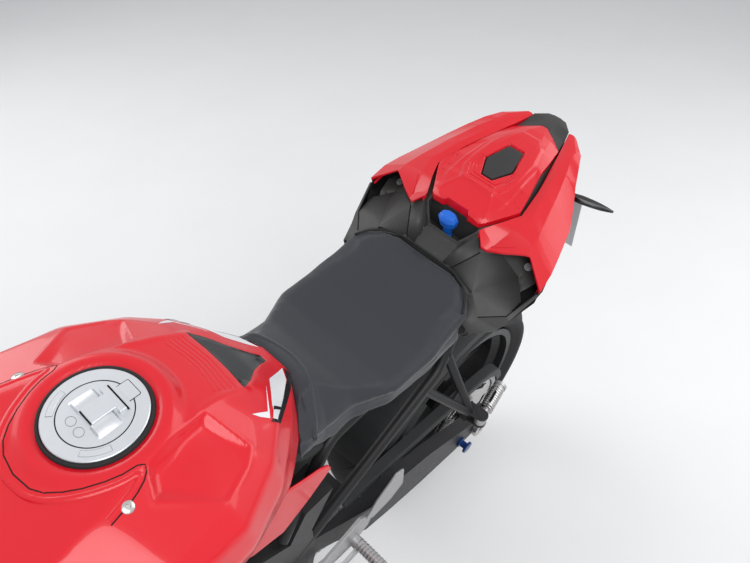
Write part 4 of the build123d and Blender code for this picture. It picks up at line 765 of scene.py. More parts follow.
def tank_graphics(surface):
    laid("tank_rear_panel", BLACK_PANEL[1:-1] + [(x, -y) for x, y in BLACK_PANEL[-2:0:-1]], surface,
         BLACK_GLOSS, 0.3, sides=(1,))
    for index in range(5):
        ahead = 9 + 6.5 * index
        line = [(609 + ahead, 0), (611 + ahead, 22), (614 + ahead * 1.1, 56 - 1.5 * index)]
        ribbon(f"tank_ridge_{index + 1}", smooth_line(line), surface, ridge(3.4, 0.7), RED)
    laid("tank_white_stripe", WHITE_ARROW, surface, WHITE, 0.6)
    laid("tank_white_sliver", WHITE_SLIVER, surface, WHITE, 0.6)
    laid("tank_black_border", BLACK_BORDER, surface, BLACK_GLOSS, 1.1)
    laid("tank_black_notch", BLACK_NOTCH, surface, BLACK_GLOSS, 1.1)
    ribbon("tank_front_seam", smooth_line(FRONT_SEAM, 1), surface, ridge(2.6, 0.12), SEAM)
    ribbon("tank_front_lip", smooth_line(FRONT_LIP), surface, ridge(8.0, 1.6), RED)
    screws = Shape()
    for side in (1, -1):
        at = drop(surface, 813, side * 113, -0.6)
        normal = drop(surface, 813, side * 113, 5) - at
        screws.turned([(7.4, 0), (7.4, 1.4), (6.2, 2.4), (3.0, 2.6), (2.6, 1.2)], at, normal, 28)
    piece("tank_screws", screws, STEEL, sharp=40)


def filler_cap():
    """Ring, rubber seal and a keyhole lid with two grips and a flap over its lock."""
    piece("cap_ring", cap_turned([
        (LID_R + 0.5, -3), (LID_R + 0.5, 3.5), (LID_R + 1.0, RING_TOP), (RING_R - 0.9, RING_TOP),
        (RING_R, 3.3), (RING_R, -3)]), SATIN, replaces=("filler_ring",), sharp=40)
    piece("cap_seal", cap_turned([(60.9, -1.8), (61.2, 2.2), (63.0, 3.1), (65.2, 2.4), (66.2, -1.2),
                                  (64, -2.4)]), RUBBER, sharp=60)
    # The grey band round each mark, a little wider than it, is painted shade for the edge of its shallow
    # recess.
    marks = Shape()
    edges = Shape()
    for middle in (math.radians(58), math.radians(-58)):
        for shape, grow, low, high in ((edges, 0.5, 4.0, 4.25), (marks, 0.0, 4.1, 4.7)):
            section = ((46.4 - grow, low), (46.9 - grow, high), (53.6 + grow, high), (54.1 + grow, low))
            rows = []
            for step in range(11):
                a = middle + (math.radians(19) + grow / 50) * (step / 5 - 1)
                rows.append([cap_point(-math.cos(a) * r, math.sin(a) * r, h) for r, h in section])
            shape.grid(rows)
    piece("cap_ring_marks", marks, SATIN, sharp=30)
    piece("cap_mark_shade_edges", edges, GREY, sharp=30)

    lid = cap_turned([(10, -9), (20, -8.4), (21, -3), (40, -2.4), (LID_R, -1.6), (LID_R, 3.3),
                      (LID_R - 0.6, 3.95), (0.8, 4.05)], ends=True)
    tab = whole([(36, -TAB_HALF), (TAB_END - 1.5, -TAB_HALF), (TAB_END, 1.5 - TAB_HALF)])
    lid.prism(on_cap(tab, 3.2), CAP_AXIS * 1.2)
    piece("cap_lid", lid, SATIN, "filler_lid", replaces=("filler_lid",), sharp=40)
    # Painted shade: thin dark tubes along the gap round the tab and round the lid.
    gap = Shape()
    for ends in zip(tab, tab[1:]):
        line = [(x + (0.45 if x > 45 else 0), y + math.copysign(0.45, y)) for x, y in ends]
        gap.pipe(on_cap(line, 4.12), 0.42, 6)
    start = math.asin(TAB_HALF / LID_R)
    turns = [start + 2 * (math.pi - start) * step / 72 for step in range(73)]
    gap.pipe(on_cap([(math.cos(a) * LID_R, math.sin(a) * LID_R) for a in turns], 4.02), 0.42, 6)
    piece("cap_tab_gap", gap, SHADOW, "filler_lid", sharp=60)

    grips = Shape()
    for side in (1, -1):
        rows = []
        for back, up, grow in ((-15.5, 0.3, 0), (-13, 3.6, 0.4), (-4, 4.6, 1.2), (6, 4.8, 1.2),
                               (13.5, 3.6, 0.4), (16, 0.3, 0)):
            section = ((32, 0), (28.5 + grow, 0.45), (23, 0.95), (18, 1.0), (12.4, 0.85), (12.4, 0))
            rows.append([cap_point(back, side * b, 3.9 + up * h) for b, h in section])
        grips.grid(rows)
    piece("cap_grips", grips, SATIN, "filler_lid", sharp=25, bevel=0.5)
    rows = []
    for inset, up in ((0, 3.9), (0, 8.6), (0.8, 9.3)):
        rows.append(on_cap(whole([(inset - 11, inset - 12.6), (19.5, inset - 12.6), (19.5, inset - 21),
                                  (28 - inset, inset - 21)]), up))
    piece("cap_key_flap", Shape().grid(rows), SATIN, "filler_lid", sharp=30)
    # Painted shade: dark strips along the flap's rear edge and its front edge, where the slot and the flap's
    # shadow are.
    slots = Shape()
    for near, far, half, high in ((28.2, 30.6, 21.5, 1.6), (-12.4, -11.2, 12, 3.4)):
        slots.prism(on_cap(whole([(near, -half), (far, -half)]), 3.95), CAP_AXIS * high)
    piece("cap_slots", slots, SHADOW, "filler_lid")
    rings = Shape()
    for back, left in ((-25, -9.6), (-26, 8.4)):
        turns = [k * math.pi / 12 for k in range(25)]
        line = [(back + 5.6 * math.cos(a), left + 6.8 * math.sin(a)) for a in turns]
        rings.pipe(on_cap(line, 4.1), 0.3, 5, ends=False)
    piece("cap_lid_marks", rings, GREY, "filler_lid", sharp=60)


# Seat

SEAT_SEAM = [(160, 852), (176, 842), (204, 826), (240, 814), (288, 804), (366, 796), (437, 786),
             (490, 790), (536, 802), (548, 806)]
SEAT_REAR = [(206, 127, 853), (190, 118, 858), (174, 104, 863), (162, 86, 866), (155, 66, 868),
             (153.6, 40, 868.6), (153.4, 0, 868.8)]
SEAT_COLLAR = [(474, 0), (477, 22), (486, 46), (499, 68), (509, 86), (518, 101), (528, 113)]


def puffed(mesh, most):
    """Cloth blown up from inside: no point moves further than most, in metres."""
    scene = bpy.context.scene
    holder = held_by(mesh)
    settings = holder.modifiers.new("cloth", "CLOTH").settings
    settings.quality = 4
    settings.mass = 0.25
    settings.tension_stiffness = 12.0
    settings.compression_stiffness = 12.0
    settings.bending_stiffness = 0.6
    settings.use_pressure = True
    settings.uniform_pressure_force = 4.0
    settings.effector_weights.gravity = 0.0
    before = read(mesh)
    for number in range(1, 21):
        scene.frame_set(number)
    moved = result_of(holder)
    step = read(moved) - before
    scale = np.minimum(1.0, most / np.maximum(np.linalg.norm(step, axis=1), 1e-9))
    bpy.data.meshes.remove(moved)
    write(mesh, before + step * scale[:, None])
    scene.frame_set(1)


def seat():
    """Seat cover: one smooth cushion over a skirt, with a fold between them and a front collar."""
    mesh = remeshed(copy_of("rider_seat"), 5.0, 9)
    points = read(mesh)
    normals = read(mesh, "normal")
    middle = np.exp(-((points[:, 0] - 360) / 90) ** 2 - (points[:, 1] / 60) ** 2)
    points[:, 2] -= (3.0 * middle + 1.4) * smooth_step(normals[:, 2], 0.2, 0.6)
    side_on = smooth_step(np.abs(normals[:, 1]), 0.15, 0.6)
    rear = 1 - smooth_step(points[:, 0], 360, 450)
    points[:, 1] += np.sign(points[:, 1]) * side_on * (7.0 * rear - 1.5)
    placed(write(mesh, points))
    puffed(mesh, 0.003)
    mesh.transform(TO_BIKE)

    # The fold where the cover meets the skirt: a groove, with the skirt a little inside it.
    points = read(mesh)
    below = points[:, 2] - np.interp(points[:, 0], *np.array(SEAT_SEAM, float).T)
    flank = smooth_step(np.abs(read(mesh, "normal")[:, 1]), 0.2, 0.6)
    skirt = smooth_step(-below, 0, 5) * smooth_step(46 + below, 0, 34)
    points[:, 1] -= np.sign(points[:, 1]) * flank * (4.5 * np.exp(-(below / 4.5) ** 2) + 5.0 * skirt)
    write(mesh, points)
    surface = surface_of(mesh)
    cover = settle("seat_cover", placed(mesh), VINYL, replaces=("rider_seat",), sharp=180, subdivide=1)
    ribbon("seat_collar", smooth_line(SEAT_COLLAR), surface,
           ((-5.5, -1.5), (-4.0, 0.6), (0, 1.6), (4.0, 0.6), (5.5, -1.5)), VINYL, step=5, sharp=50)
    piping = Shape()
    for side in (1, -1):
        piping.pipe(dense([(x, side * y, z) for x, y, z in smooth_line(SEAT_REAR)], 6), 1.9, 8)
    piece("seat_rear_piping", piping, RUBBER, sharp=60)


# Tail

HUMP_RING = [(40.5, 33), (15, 46.5), (-12, 48), (-64, 44), (-103, 33), (-115, 19)]
HUMP_WELL = [(60, 62), (20, 62), (-30, 58), (-62, 57), (-40, 74), (0, 86), (40, 84)]
WING_TRIANGLE = [(79.6, 123), (67.8, 107.7), (99.8, 90)]
# Corners of the tail tray's facets on the left side, read from both sides of the photograph
TRAY_CORNERS = {
    "seat_inner": (150.8, 33, 869), "well": (114.8, 36.4, 887.5), "cowl_inner": (102, 60.5, 925),
    "seat_middle": (148, 53, 867.4), "wing_inner": (114, 80.6, 903.2), "wing_middle": (91, 113, 905),
    "seat_outer": (159.5, 110, 858.4), "wing_outer": (80, 148, 873.5), "rail_above": (108.8, 179, 856),
    "rail_corner": (141.8, 176.5, 839.6), "seat_rail": (178.4, 143, 836), "wing_tip": (92, 193, 876),
    "tip_outside": (93, 198, 873), "rail_outside": (142.5, 183.5, 833), "rail_low": (158, 177, 818),
    "seat_low": (208, 150, 823), "under_seat": (210, 128, 838), "under_seat_rear": (182, 102, 857),
    "tip_foot": (93, 194, 862), "corner_foot": (142, 176, 814), "low_foot": (158, 169, 806),
    "seat_foot": (208, 142, 808),
}
# The first thirteen facets face up; the others are side walls.
TRAY_FACETS = [
    ("seat_inner", "well", "cowl_inner"), ("seat_middle", "seat_inner", "cowl_inner", "wing_inner"),
    ("seat_middle", "wing_inner", "seat_outer"), ("wing_inner", "wing_middle", "seat_outer"),
    ("seat_outer", "wing_middle", "wing_outer"), ("seat_outer", "wing_outer", "rail_above"),
    ("seat_outer", "rail_above", "rail_corner"), ("seat_outer", "rail_corner", "seat_rail"),
    ("seat_outer", "seat_rail", "under_seat", "under_seat_rear"),
    ("wing_tip", "tip_outside", "rail_outside", "rail_corner"),
    ("rail_corner", "rail_outside", "rail_low", "seat_rail"), ("seat_rail", "rail_low", "seat_low"),
    ("seat_rail", "seat_low", "under_seat"), ("tip_outside", "tip_foot", "corner_foot", "rail_outside"),
    ("rail_outside", "corner_foot", "low_foot", "rail_low"),
    ("rail_low", "low_foot", "seat_foot", "seat_low"),
]
# A dark wall of painted shade under the wing's outer edge: x, y, top and foot
TIP_SHADE_WALL = [(91, 195, 879, 859), (60, 191.5, 897, 858), (30, 182, 908, 864), (10, 168.5, 914, 872),
            (-30, 162, 926, 890)]
# Corners of a dark sheet of painted shade in the opening under the wing
TRAY_SHADE_SHEET = [(84, 147, 866), (108, 170, 851), (141, 181, 829), (92, 196, 857), (50, 186, 866),
              (40, 150, 876)]


def knob():
    """Lock knob: a faceted blue head on a waisted stem over its collar."""
    base, top = Vector((98, 0, 877.4)), Vector((112, 0, 934))
    along = (top - base).normalized()
    side = along.cross(LEFT).normalized()
    other = along.cross(side)
    length = (top - base).length
    rows = []
    for height, wide, long in (
        (1.0, 9.0, 9.0), (4.0, 9.2, 9.2), (6.0, 8.2, 8.2), (22, 8.6, 8.4), (length - 27, 10.4, 9.4),
        (length - 23, 17.6, 12.6), (length - 9, 19.6, 14.6), (length - 2.5, 16.0, 11.0), (length, 13.6, 8.4),
    ):
        rows.append([base + along * height + about(other * wide, side * long, a) * 1.04
                     for a in angles(8, 0.5)])
    piece("lock_knob", Shape().grid(rows), BLUE, replaces=("seat_lock_knob",), bevel=1.3, segments=3,
          sharp=24)
    ring = Shape().turned([(9.9, 0.4), (9.9, 2.2), (9.4, 3.0), (8.4, 3.2)], base - Vector((0, 0, 0.3)),
                          (0, 0, 1), 32)
    piece("lock_knob_collar", ring, BLACK_GLOSS, sharp=40)


def hump_form(points, normals):
    """A raised ring round the pad, terraces before it and two creases to the front corners."""
    plan = left_plan(points)
    from_edge = near_line(plan, [(40.5, 0)] + HUMP_RING + [(-115, 0)])
    inside = inside_depth(points[:, :2], whole(HUMP_RING)) > 0
    far = np.where(inside, from_edge, -from_edge)
    ahead = smooth_step(points[:, 0], -60, 0)
    height = 2.6 * smooth_step(far, -7, 0.5)
    for edge in (5.0, 10.0, 15.0):
        height -= smooth_step(far, edge, edge + 1.6) * (0.35 + 0.65 * ahead)
    height += 1.3 * np.exp(-(near_line(plan, [(40.5, 33), (80, 54)]) / 4.0) ** 2) * ~inside
    height -= 1.6 * smooth_step(inside_depth(plan, HUMP_WELL), -1, 4)
    points[:, 2] += height * smooth_step(normals[:, 2], 0.45, 0.8)
    return points


def hump():
    """Hump panel from the CAD, carved round the pad, and the pad with its soft edge."""
    surface = carved("seat_cowl", "hump_cover", RED, 2.8, hump_form, 42)
    for index in range(3):
        share = 0.9 - 0.1 * index
        line = [((x + 30) * share - 30, y * share) for x, y in ((-24, 47.5), (15, 46), (40, 33), (40.5, 0))]
        line += [(x, -y) for x, y in line[-2::-1]]
        ribbon(f"hump_step_{index + 1}", line, surface, ridge(2.6, 0.9), RED, sides=(1,), step=3.0)
    slope = math.radians(14.0)
    out = Vector((math.sin(slope), 0, math.cos(slope)))
    back = Vector((-math.cos(slope), 0, math.sin(slope)))

    def at(point, up):
        return Vector((12, 0, 966.6)) + back * point[0] + LEFT * point[1] + out * up

    corners = [Vector(c) for c in whole([(1, 11), (36, 29), (88, 16)])]
    centre = Vector((sum(c.x for c in corners) / 6, 0))
    outline = []
    for i, c in enumerate(corners):
        before, after = corners[i - 1], corners[(i + 1) % 6]
        outline += [c.lerp(before, 0.1), c.lerp((before + after) / 2, 0.035), c.lerp(after, 0.1)]
    pad = [[at(centre + (q - centre) * share, up) for q in outline] for share, up in (
        (0.99, 0.3), (0.99, 2.2), (0.95, 3.9), (0.80, 4.9), (0.45, 5.6), (0.1, 5.8))]
    piece("hump_pad", Shape().grid(pad), PAD, replaces=("pillion_pad",), sharp=40)
    # Painted shade: a dark ring round the pad where its recess lies in shadow.
    rim = [[at(centre + (c - centre) * share, up) for c in corners] for share, up in (
        (1.06, -1.0), (1.06, 1.1), (1.0, 1.1), (1.0, -1.0))]
    piece("hump_pad_shade_ring", Shape().grid(rim, close_v=True, ends=False), SHADOW, sharp=30)


def below_facets(points, _):
    """Keeps the tray's own skin under the facets that are laid over it."""
    plan = left_plan(points)
    high = points[:, 2].copy()
    for facet in TRAY_FACETS[:13]:
        first, *others = [np.array(TRAY_CORNERS[c], float) for c in facet]
        for second, third in zip(others, others[1:]):
            edges = np.array([second - first, third - first])
            if abs(np.linalg.det(edges[:, :2])) < 1:
                continue
            share = (plan - first[:2]) @ np.linalg.inv(edges[:, :2])
            within = (share.min(axis=1) > -0.02) & (share.sum(axis=1) < 1.02)
            level = first[2] + share @ edges[:, 2] - 1.6
            lower = within & (high > level - 25) & (points[:, 2] > level)
            points[:, 2] = np.where(lower, level, points[:, 2])
    return points


def tray():
    """Tail tray: the CAD's skin, with flat facets and the side rails over it, thin dark lines of painted
    shade along its grooves and dark sheets of painted shade under the wings.
    """
    carved("tail_undertray", "tray_cover", TRAY, 6.0, below_facets, 14)
    for side, label in SIDES:
        at = {name: Vector((x, side * y, z)) for name, (x, y, z) in TRAY_CORNERS.items()}
        names = list(at)
        shape = Shape().add(at.values(), [[names.index(n) for n in f] for f in TRAY_FACETS])
        thick = piece(f"tray_facets_{label}", shape, TRAY, sharp=4).modifiers.new("thick", "SOLIDIFY")
        thick.thickness = 0.002
        thick.offset = -1
        # Painted shade: thin dark tubes along the grooves between facets.
        lines = Shape()
        for ends in (("seat_middle", "wing_inner"), ("seat_rail", "rail_corner", "wing_tip")):
            lines.pipe([at[e] + Vector((0, 0, 0.5)) for e in ends], 0.9, 8)
        piece(f"tray_groove_shade_{label}", lines, SHADOW, sharp=60)
        # Painted shade: a dark sheet in the opening under the wing and a dark wall under its outer edge.
        floor = Shape().prism([(x, side * y, z) for x, y, z in TRAY_SHADE_SHEET], (0, 0, -3))
        floor.grid([[(x, side * (y - 3), top), (x, side * y, top), (x, side * y, low),
                     (x, side * (y - 3), low)] for x, y, top, low in TIP_SHADE_WALL])
        piece(f"tray_shade_sheet_{label}", floor, SHADOW)


def tail():
    for sign, side in SIDES:
        refined(f"tail_panel_{side}", f"tail_wing_{side}", RED, bevel=2.2, sharp=20)
        wing = surface_of(copy_of(f"tail_panel_{side}"))
        laid(f"wing_facet_{side}", WING_TRIANGLE, wing, RED, 1.1, 1.6, sides=(sign,))
    tray()
    refined("tail_end", "tail_end_cap", TRAY, bevel=2.2, sharp=24)
    refined("tail_lamp", "tail_lamp_lens", RED_LENS, bevel=1.5)
    refined("number_plate", "blank_plate", PLATE, bevel=0.5)
    refined("rear_indicators", "indicator_leaves", BLACK_GLOSS, bevel=1.4, sharp=60, subdivide=1)
    mesh = copy_of("plate_holder")
    points = read(mesh)
    points[:, 1] *= 1 - 0.42 * smooth_step(-points[:, 0], 262, 276)
    mesh = placed(write(mesh, points))
    settle("plate_carrier", mesh, PLASTIC, replaces=("plate_holder",), sharp=28, bevel=1.2)
    screws = Shape()
    gaps = Shape()
    for side in (1, -1):
        screws.bolt((60, side * 151, 887), (0.6, side * 0.2, 0.8), 5.0, 4.0)
        screws.bolt((-275.2, side * 60, 806), (0.948, 0, 0.318), 3.6, 3.0)
        # Painted shade: a dark block fills the gap between the hump, the wings and the end cap.
        gaps.prism([(-104, side * 48, 966), (-184, side * 28, 980), (-190, side * 58, 976),
                    (-112, side * 76, 962)], (0, 0, -7))
    piece("tail_screws", screws, GREY)
    piece("tail_gap_shade", gaps, SHADOW)


# Chain guard, the small side panels and the airbox between them

GUARD_LINE = [(-118, 378), (-108, 404), (-88, 428), (-56, 446), (-12, 454), (200, 458), (430, 464)]
GUARD_SECTION = ((97, 0), (118, 0), (121, -2.5), (121, -18), (118.5, -18), (118.5, -3.5), (97, -2.6))
SIDE_PANEL = [(503, 712), (511, 727), (528, 737), (562, 746), (632, 770), (724, 764), (778, 730),
              (744, 690), (662, 640), (600, 628), (548, 668)]
# Airbox sections: x, half width, low and high
AIRBOX = [(440, 82, 702, 754), (468, 103, 694, 762), (534, 103, 690, 768), (572, 92, 640, 782),
          (700, 92, 610, 800), (860, 92, 620, 806), (925, 78, 650, 800), (942, 56, 678, 780)]


def chain_guard():
    rows = []
    line = smooth_line(GUARD_LINE)
    for i, p in enumerate(line):
        ahead = beside(line, i).normalized()
        rows.append([(p.x - ahead.y * up, y, p.y + ahead.x * up) for y, up in GUARD_SECTION])
    guard = Shape().grid(rows)
    for x, z in ((60, 447), (330, 451)):
        guard.bolt((x, 121, z), LEFT, 4.2, 3.2)
    piece("chain_guard", guard, PLASTIC, sharp=30)


def side_panels():
    panels = Shape()
    for inner in (127, -132):
        panels.prism([(x, inner, z) for x, z in SIDE_PANEL], (0, 5, 0))
    piece("side_panels", panels, RED, bevel=2.2, segments=3)
    rows = []
    for x, half, low, high in AIRBOX:
        cut = 0.32 * half
        left = [(half - cut, low), (half, low + cut), (half, high - cut), (half - cut, high)]
        rows.append([(x, y, z) for y, z in left + [(-y, z) for y, z in left[::-1]]])
    piece("airbox", Shape().grid(rows), PLASTIC, bevel=6, segments=3)


# Wheels

# How often the tread repeats round a tyre, and its reach to the side as a share of the half width
TREAD_REPEATS, TREAD_REACH = 22, 0.88
# From a brake disc's middle to its face, and the radius of the circle of its buttons
DISC_FACE, BUTTON_CIRCLE = 2.52, 112
VALVE_ANGLE = 0.63


def tyre_profile(radius, half, crown, rim_half):
    """Half of a tyre's skin as (y, r): crown arc, shoulder, bulge and bead, with two ribs."""
    rows = []
    for k in range(9):
        y = TREAD_REACH * half * k / 8
        rows.append((y, radius - crown + math.sqrt(crown * crown - y * y) - 0.3))
    shoulder = Vector(rows[-1])
    bulge = Vector((half - 0.4, 217 + 0.40 * (radius - 217)))
    foot = Vector((rim_half - 6.4, 228))
    control = bulge * 2 - (shoulder + foot) / 2
    for k in range(1, 13):
        s = k / 12
        q = shoulder * (1 - s) ** 2 + control * 2 * s * (1 - s) + foot * s * s
        rows.append((q.x - (0.9 if k in (5, 9) else 0.0), q.y))
    return rows


def tyre(end, centre, radius, half, crown, rim_half):
    """A tyre's skin over its CAD form, and the grooves of its tread as thin dark strips of painted shade on
    the skin.
    """
    rows = tyre_profile(radius, half, crown, rim_half)
    skin = [(r, -y) for y, r in rows[::-1]] + [(r, y) for y, r in rows[1:]]
    piece(f"{end}_tyre_skin", Shape().turned(skin, centre, LEFT, 120, ends=False), TYRE,
          f"{end}_wheel", replaces=(f"{end}_tyre",), sharp=60)
    sipe_shade = Shape()
    # Grooves, drawn as strips of painted shade: start and end as shares of the half width, lean in radians,
    # lag in steps and width
    for start, finish, lean, lag, wide in (
        (0.12, 0.80, 0.34, 0.0, 2.4), (0.46, 0.86, 0.16, 0.42, 1.8), (0.30, 0.44, 0.05, 0.75, 1.6),
    ):
        left, right = angles(TREAD_REPEATS, lag), angles(TREAD_REPEATS, lag + 0.5)
        for side, first in [(1, a) for a in left] + [(-1, a) for a in right]:
            rows = []
            for k in range(9):
                s = k / 8
                y = half * (start + (finish - start) * s)
                r = radius - crown + math.sqrt(crown * crown - min(y, TREAD_REACH * half) ** 2) + 0.05
                width = wide * math.sin(math.pi * min(0.95, max(0.07, s))) / r
                a = first + lean * s ** 1.4
                rows.append([round_y(centre, a + d, r, side * y) for d in (-width, width)])
            sipe_shade.grid(rows, close_u=False, ends=False)
    piece(f"{end}_tyre_tread_shade", sipe_shade, SHADOW, f"{end}_wheel", sharp=180)


def disc_detail(name, centre, y, body, rings, buttons):
    """Dark spots of painted shade for the holes through the friction ring, and the buttons that carry it."""
    hole_shade = Shape()
    for face in (-1, 1):
        for index, ring in enumerate(rings):
            for a in angles(24, 0.5 * (index % 2)):
                at = round_y(centre, a, ring, y + face * DISC_FACE)
                hole_shade.turned([(3.4, -0.05 * face), (3.1, 0.12 * face)], at, LEFT, 10)
    piece(f"{name}_holes", hole_shade, SHADOW, body, sharp=60)
    if buttons:
        studs = Shape()
        for a in angles(buttons, 0.5):
            studs.turned([(5.2, 0), (7.0, 0.6), (7.0, 1.4), (4.2, 1.6), (4.2, 6.4), (7.0, 6.6), (7.0, 7.4),
                          (5.2, 8)], round_y(centre, a, BUTTON_CIRCLE, y - 4), LEFT, 16)
        piece(f"{name}_buttons", studs, STEEL, body, sharp=40)


def wheels():
    tyre("front", FRONT_AXLE, radius=299.0, half=60.0, crown=62.0, rim_half=50.0)
    tyre("rear", REAR_AXLE, radius=315.0, half=90.0, crown=92.0, rim_half=76.0)
    for side, label in SIDES:
        disc_detail(f"front_disc_{label}", FRONT_AXLE, side * 66, "front_wheel",
                    rings=(123, 134, 145), buttons=10)
    disc_detail("rear_disc", REAR_AXLE, -92, "rear_wheel", rings=(78, 89, 100), buttons=0)
    for body, centre in (("front_wheel", FRONT_AXLE), ("rear_wheel", REAR_AXLE)):
        base = round_y(centre, VALVE_ANGLE, 196, 10)
        tip = round_y(centre, VALVE_ANGLE, 168, 16)
        valve = Shape().pipe([base, base.lerp(tip, 0.3), base.lerp(tip, 0.31), tip],
                             radius=[4.2, 4.0, 2.6, 2.6], sides=10)
        piece(f"{body}_valve", valve, RUBBER, body, sharp=40)


# Chain

CHAIN_PITCH = 15.875
# How far left the chain runs
CHAIN_Y = 105


def chain_path():
    """Centres of the chain's pins round both sprockets, in the plane of the chain."""
    big, small = 113.8, 38.2
    rear, front = Vector((0, 315)), Vector((648, 404))
    span = front - rear
    lie = math.atan2(span.y, span.x)
    turn = math.pi / 2 - math.asin((big - small) / span.length)
    points = []
    for centre, radius, first, sweep, steps in (
        (front, small, lie - turn, 2 * turn, 60), (rear, big, lie + turn, 2 * (math.pi - turn), 120),
    ):
        for k in range(steps + 1):
            a = first + sweep * k / steps
            points.append(centre + Vector((math.cos(a), math.sin(a))) * radius)
    points.append(points[0])
    lengths = np.cumsum([0.0] + [(b - a).length for a, b in zip(points, points[1:])])
    count = 2 * round(lengths[-1] / CHAIN_PITCH / 2)
    wanted = lengths[-1] * np.arange(count) / count
    return [Vector(p) for p in zip(*(np.interp(wanted, lengths, values) for values in zip(*points)))]


def chain():
    pins = chain_path()
    plates = Shape()
    rollers = Shape()
    for k, a in enumerate(pins):
        b = pins[(k + 1) % len(pins)]
        ahead = (b - a).normalized()
        up = Vector((-ahead.y, ahead.x))
        outline = []
        for middle, start, waist in ((b, -90, 4.9), (a, 90, -4.9)):
            turns = [math.radians(start + 45 * step) for step in range(5)]
            outline += [middle + about(ahead * 6.4, up * 6.9, turn) for turn in turns]
            outline.append((a + b) / 2 + up * waist)
        for side in (1, -1):
            near = CHAIN_Y + side * (5.7 if k % 2 else 3.9)
            plates.prism([(q.x, near, q.y) for q in outline], (0, side * 1.5, 0))
        for radius, half, steps in ((4.9, 3.6, 10), (2.5, 7.4, 8)):
            rollers.turned([(radius, -half), (radius, half)], (a.x, CHAIN_Y, a.y), LEFT, steps)
    piece("chain_plates", plates, CAST, replaces=("drive_chain",), sharp=30)
    piece("chain_rollers", rollers, STEEL, sharp=40)


# Engine, suspension and brakes


def engine_details():
    bolts = Shape()
    for x, y, radius, count, size, start in (
        (742, -171.6, 77, 9, 4.2, 0), (742, -179.6, 45, 5, 3.6, 0), (868, 171.6, 59, 8, 4.2, 0),
        (880, -165.6, 47, 6, 3.8, 0.4),
    ):
        for a in angles(count):
            bolts.bolt(round_y((x, y, 352), a + start, radius), (0, y, 0), size, size)
    for x, z in ((726, 275), (730, 445), (918, 450), (940, 300), (875, 255)):
        for side in (1, -1):
            bolts.bolt((x, side * 121.6, z), (0, side, 0), 4.2, 4.0)
    piece("engine_bolts", bolts, STEEL)
    caps = Shape()
    caps.turned([(30, 0), (30, 3), (27, 5), (12, 5), (12, 9), (9, 10)], (868, 171.5, 352), LEFT, 40)
    caps.turned([(36, 0), (36, 2), (33, 3.4), (30, 3.4), (28, 1.5)], (742, -179.5, 352), -LEFT, 48)
    caps.turned([(14, 0), (14, 8), (12, 10), (4, 10)], (800, -121, 432), -LEFT, 24)
    piece("engine_caps", caps, DARK_ALLOY, sharp=35)
    hoses = Shape()
    for line in (((1040, 150, 660), (1010, 146, 668), (980, 130, 660), (950, 112, 640)),
                 ((1030, -150, 420), (990, -146, 410), (955, -130, 430), (930, -112, 440))):
        hoses.pipe(smooth_line(line), 13, 16)
    piece("coolant_hoses", hoses, RUBBER, sharp=60)
    tubes = Shape()
    for k in range(34):
        # The tubes follow the lean of the radiator.
        z = 408 + 8.2 * k
        x = 1046.4 + (z - 400) * 22 / 290
        tubes.prism([(x, -146, z), (x + 1.6, -146, z + 1), (x + 1.6, -146, z + 3.4), (x, -146, z + 4.4)],
                    (0, 292, 0))
    piece("radiator_tubes", tubes, CAST, sharp=30)


def shock_spring():
    low = Vector((488, 0, 330))
    along = (Vector((521, 0, 590)) - low).normalized()
    side = along.cross(LEFT).normalized()
    turns, steps = 7.5, 180
    start, length, radius = 74, 122, 31.5
    line = []
    for k in range(steps + 1):
        out = about(side, LEFT, 2 * math.pi * turns * k / steps)
        line.append(low + along * (start + length * k / steps) + out * radius)
    piece("shock_coils", Shape().pipe(line, 4.6, 10), WHITE, sharp=60)


def at_fork(along, ahead, y):
    return FRONT_AXLE + FORK_UP * along + FORK_AHEAD * ahead + LEFT * y


def add_ribs(shape, start, step, count, foot, top, sides):
    """Round ribs in a row; foot and top are (radius, half width)."""
    for k in range(count):
        profile = [(foot[0], -foot[1]), (top[0], -top[1]), top, foot]
        shape.turned(profile, start + step * k, step, sides)


def fork_details():
    hoses, bolts, ribs, caps = Shape(), Shape(), Shape(), Shape()
    for side in (1, -1):
        line = [at_fork(along, ahead, side * y) for along, ahead, y in (
            (150, -92, 100), (200, -70, 101), (300, -38, 98), (400, -36, 90), (468, -40, 60))]
        hoses.pipe(smooth_line(line), 3.4, 8)
        for along in (92, 108):
            bolts.bolt(at_fork(along, -60, side * 92.5), (0, side, 0), 4.0, 4.0)
        for along in (478, 496, 688, 697):
            bolts.bolt(at_fork(along, 34, side * 118), FORK_AHEAD, 3.8, 4.0)
        bolts.turned([(10, 0), (10, 3.28), (8.8, 4)], at_fork(749.5, 0, side * 105), FORK_UP, 6)
        bolts.turned([(6, 0), (6, 4), (4, 5)], at_fork(753, 0, side * 105), FORK_UP, 20)
        end = Vector((995, side * 348, 920))
        along = (end - at_fork(723, -6, side * 134)).normalized()
        add_ribs(ribs, end - along * 12, along * -7.2, 15, (16.4, 1.6), (17.3, 1.1), 24)
        caps.turned([(13, -1), (15.5, 0), (15.5, 8), (12, 10.6), (4, 10.6)], end, along, 28)
    piece("brake_hoses", hoses, RUBBER, "steering", sharp=60)
    piece("fork_bolts", bolts, STEEL, "steering")
    piece("grip_ribs", ribs, RUBBER, "steering", sharp=60)
    piece("bar_end_caps", caps, DARK_ALLOY, "steering", sharp=35)
    at = Vector((1106, -158, 972))
    cup = Shape().turned([(11, 0), (14, 2), (14, 20), (15.4, 20.5), (15.4, 25), (12, 26.5), (3, 26.5)], at,
                         (0, 0, 1), 32)
    cup.pipe([at + Vector(p) for p in ((0, 0, -1), (-2, -6, -14), (-6, -14, -22))], 3.2, 10)
    piece("brake_reservoir", cup, GREY, "steering", sharp=35)


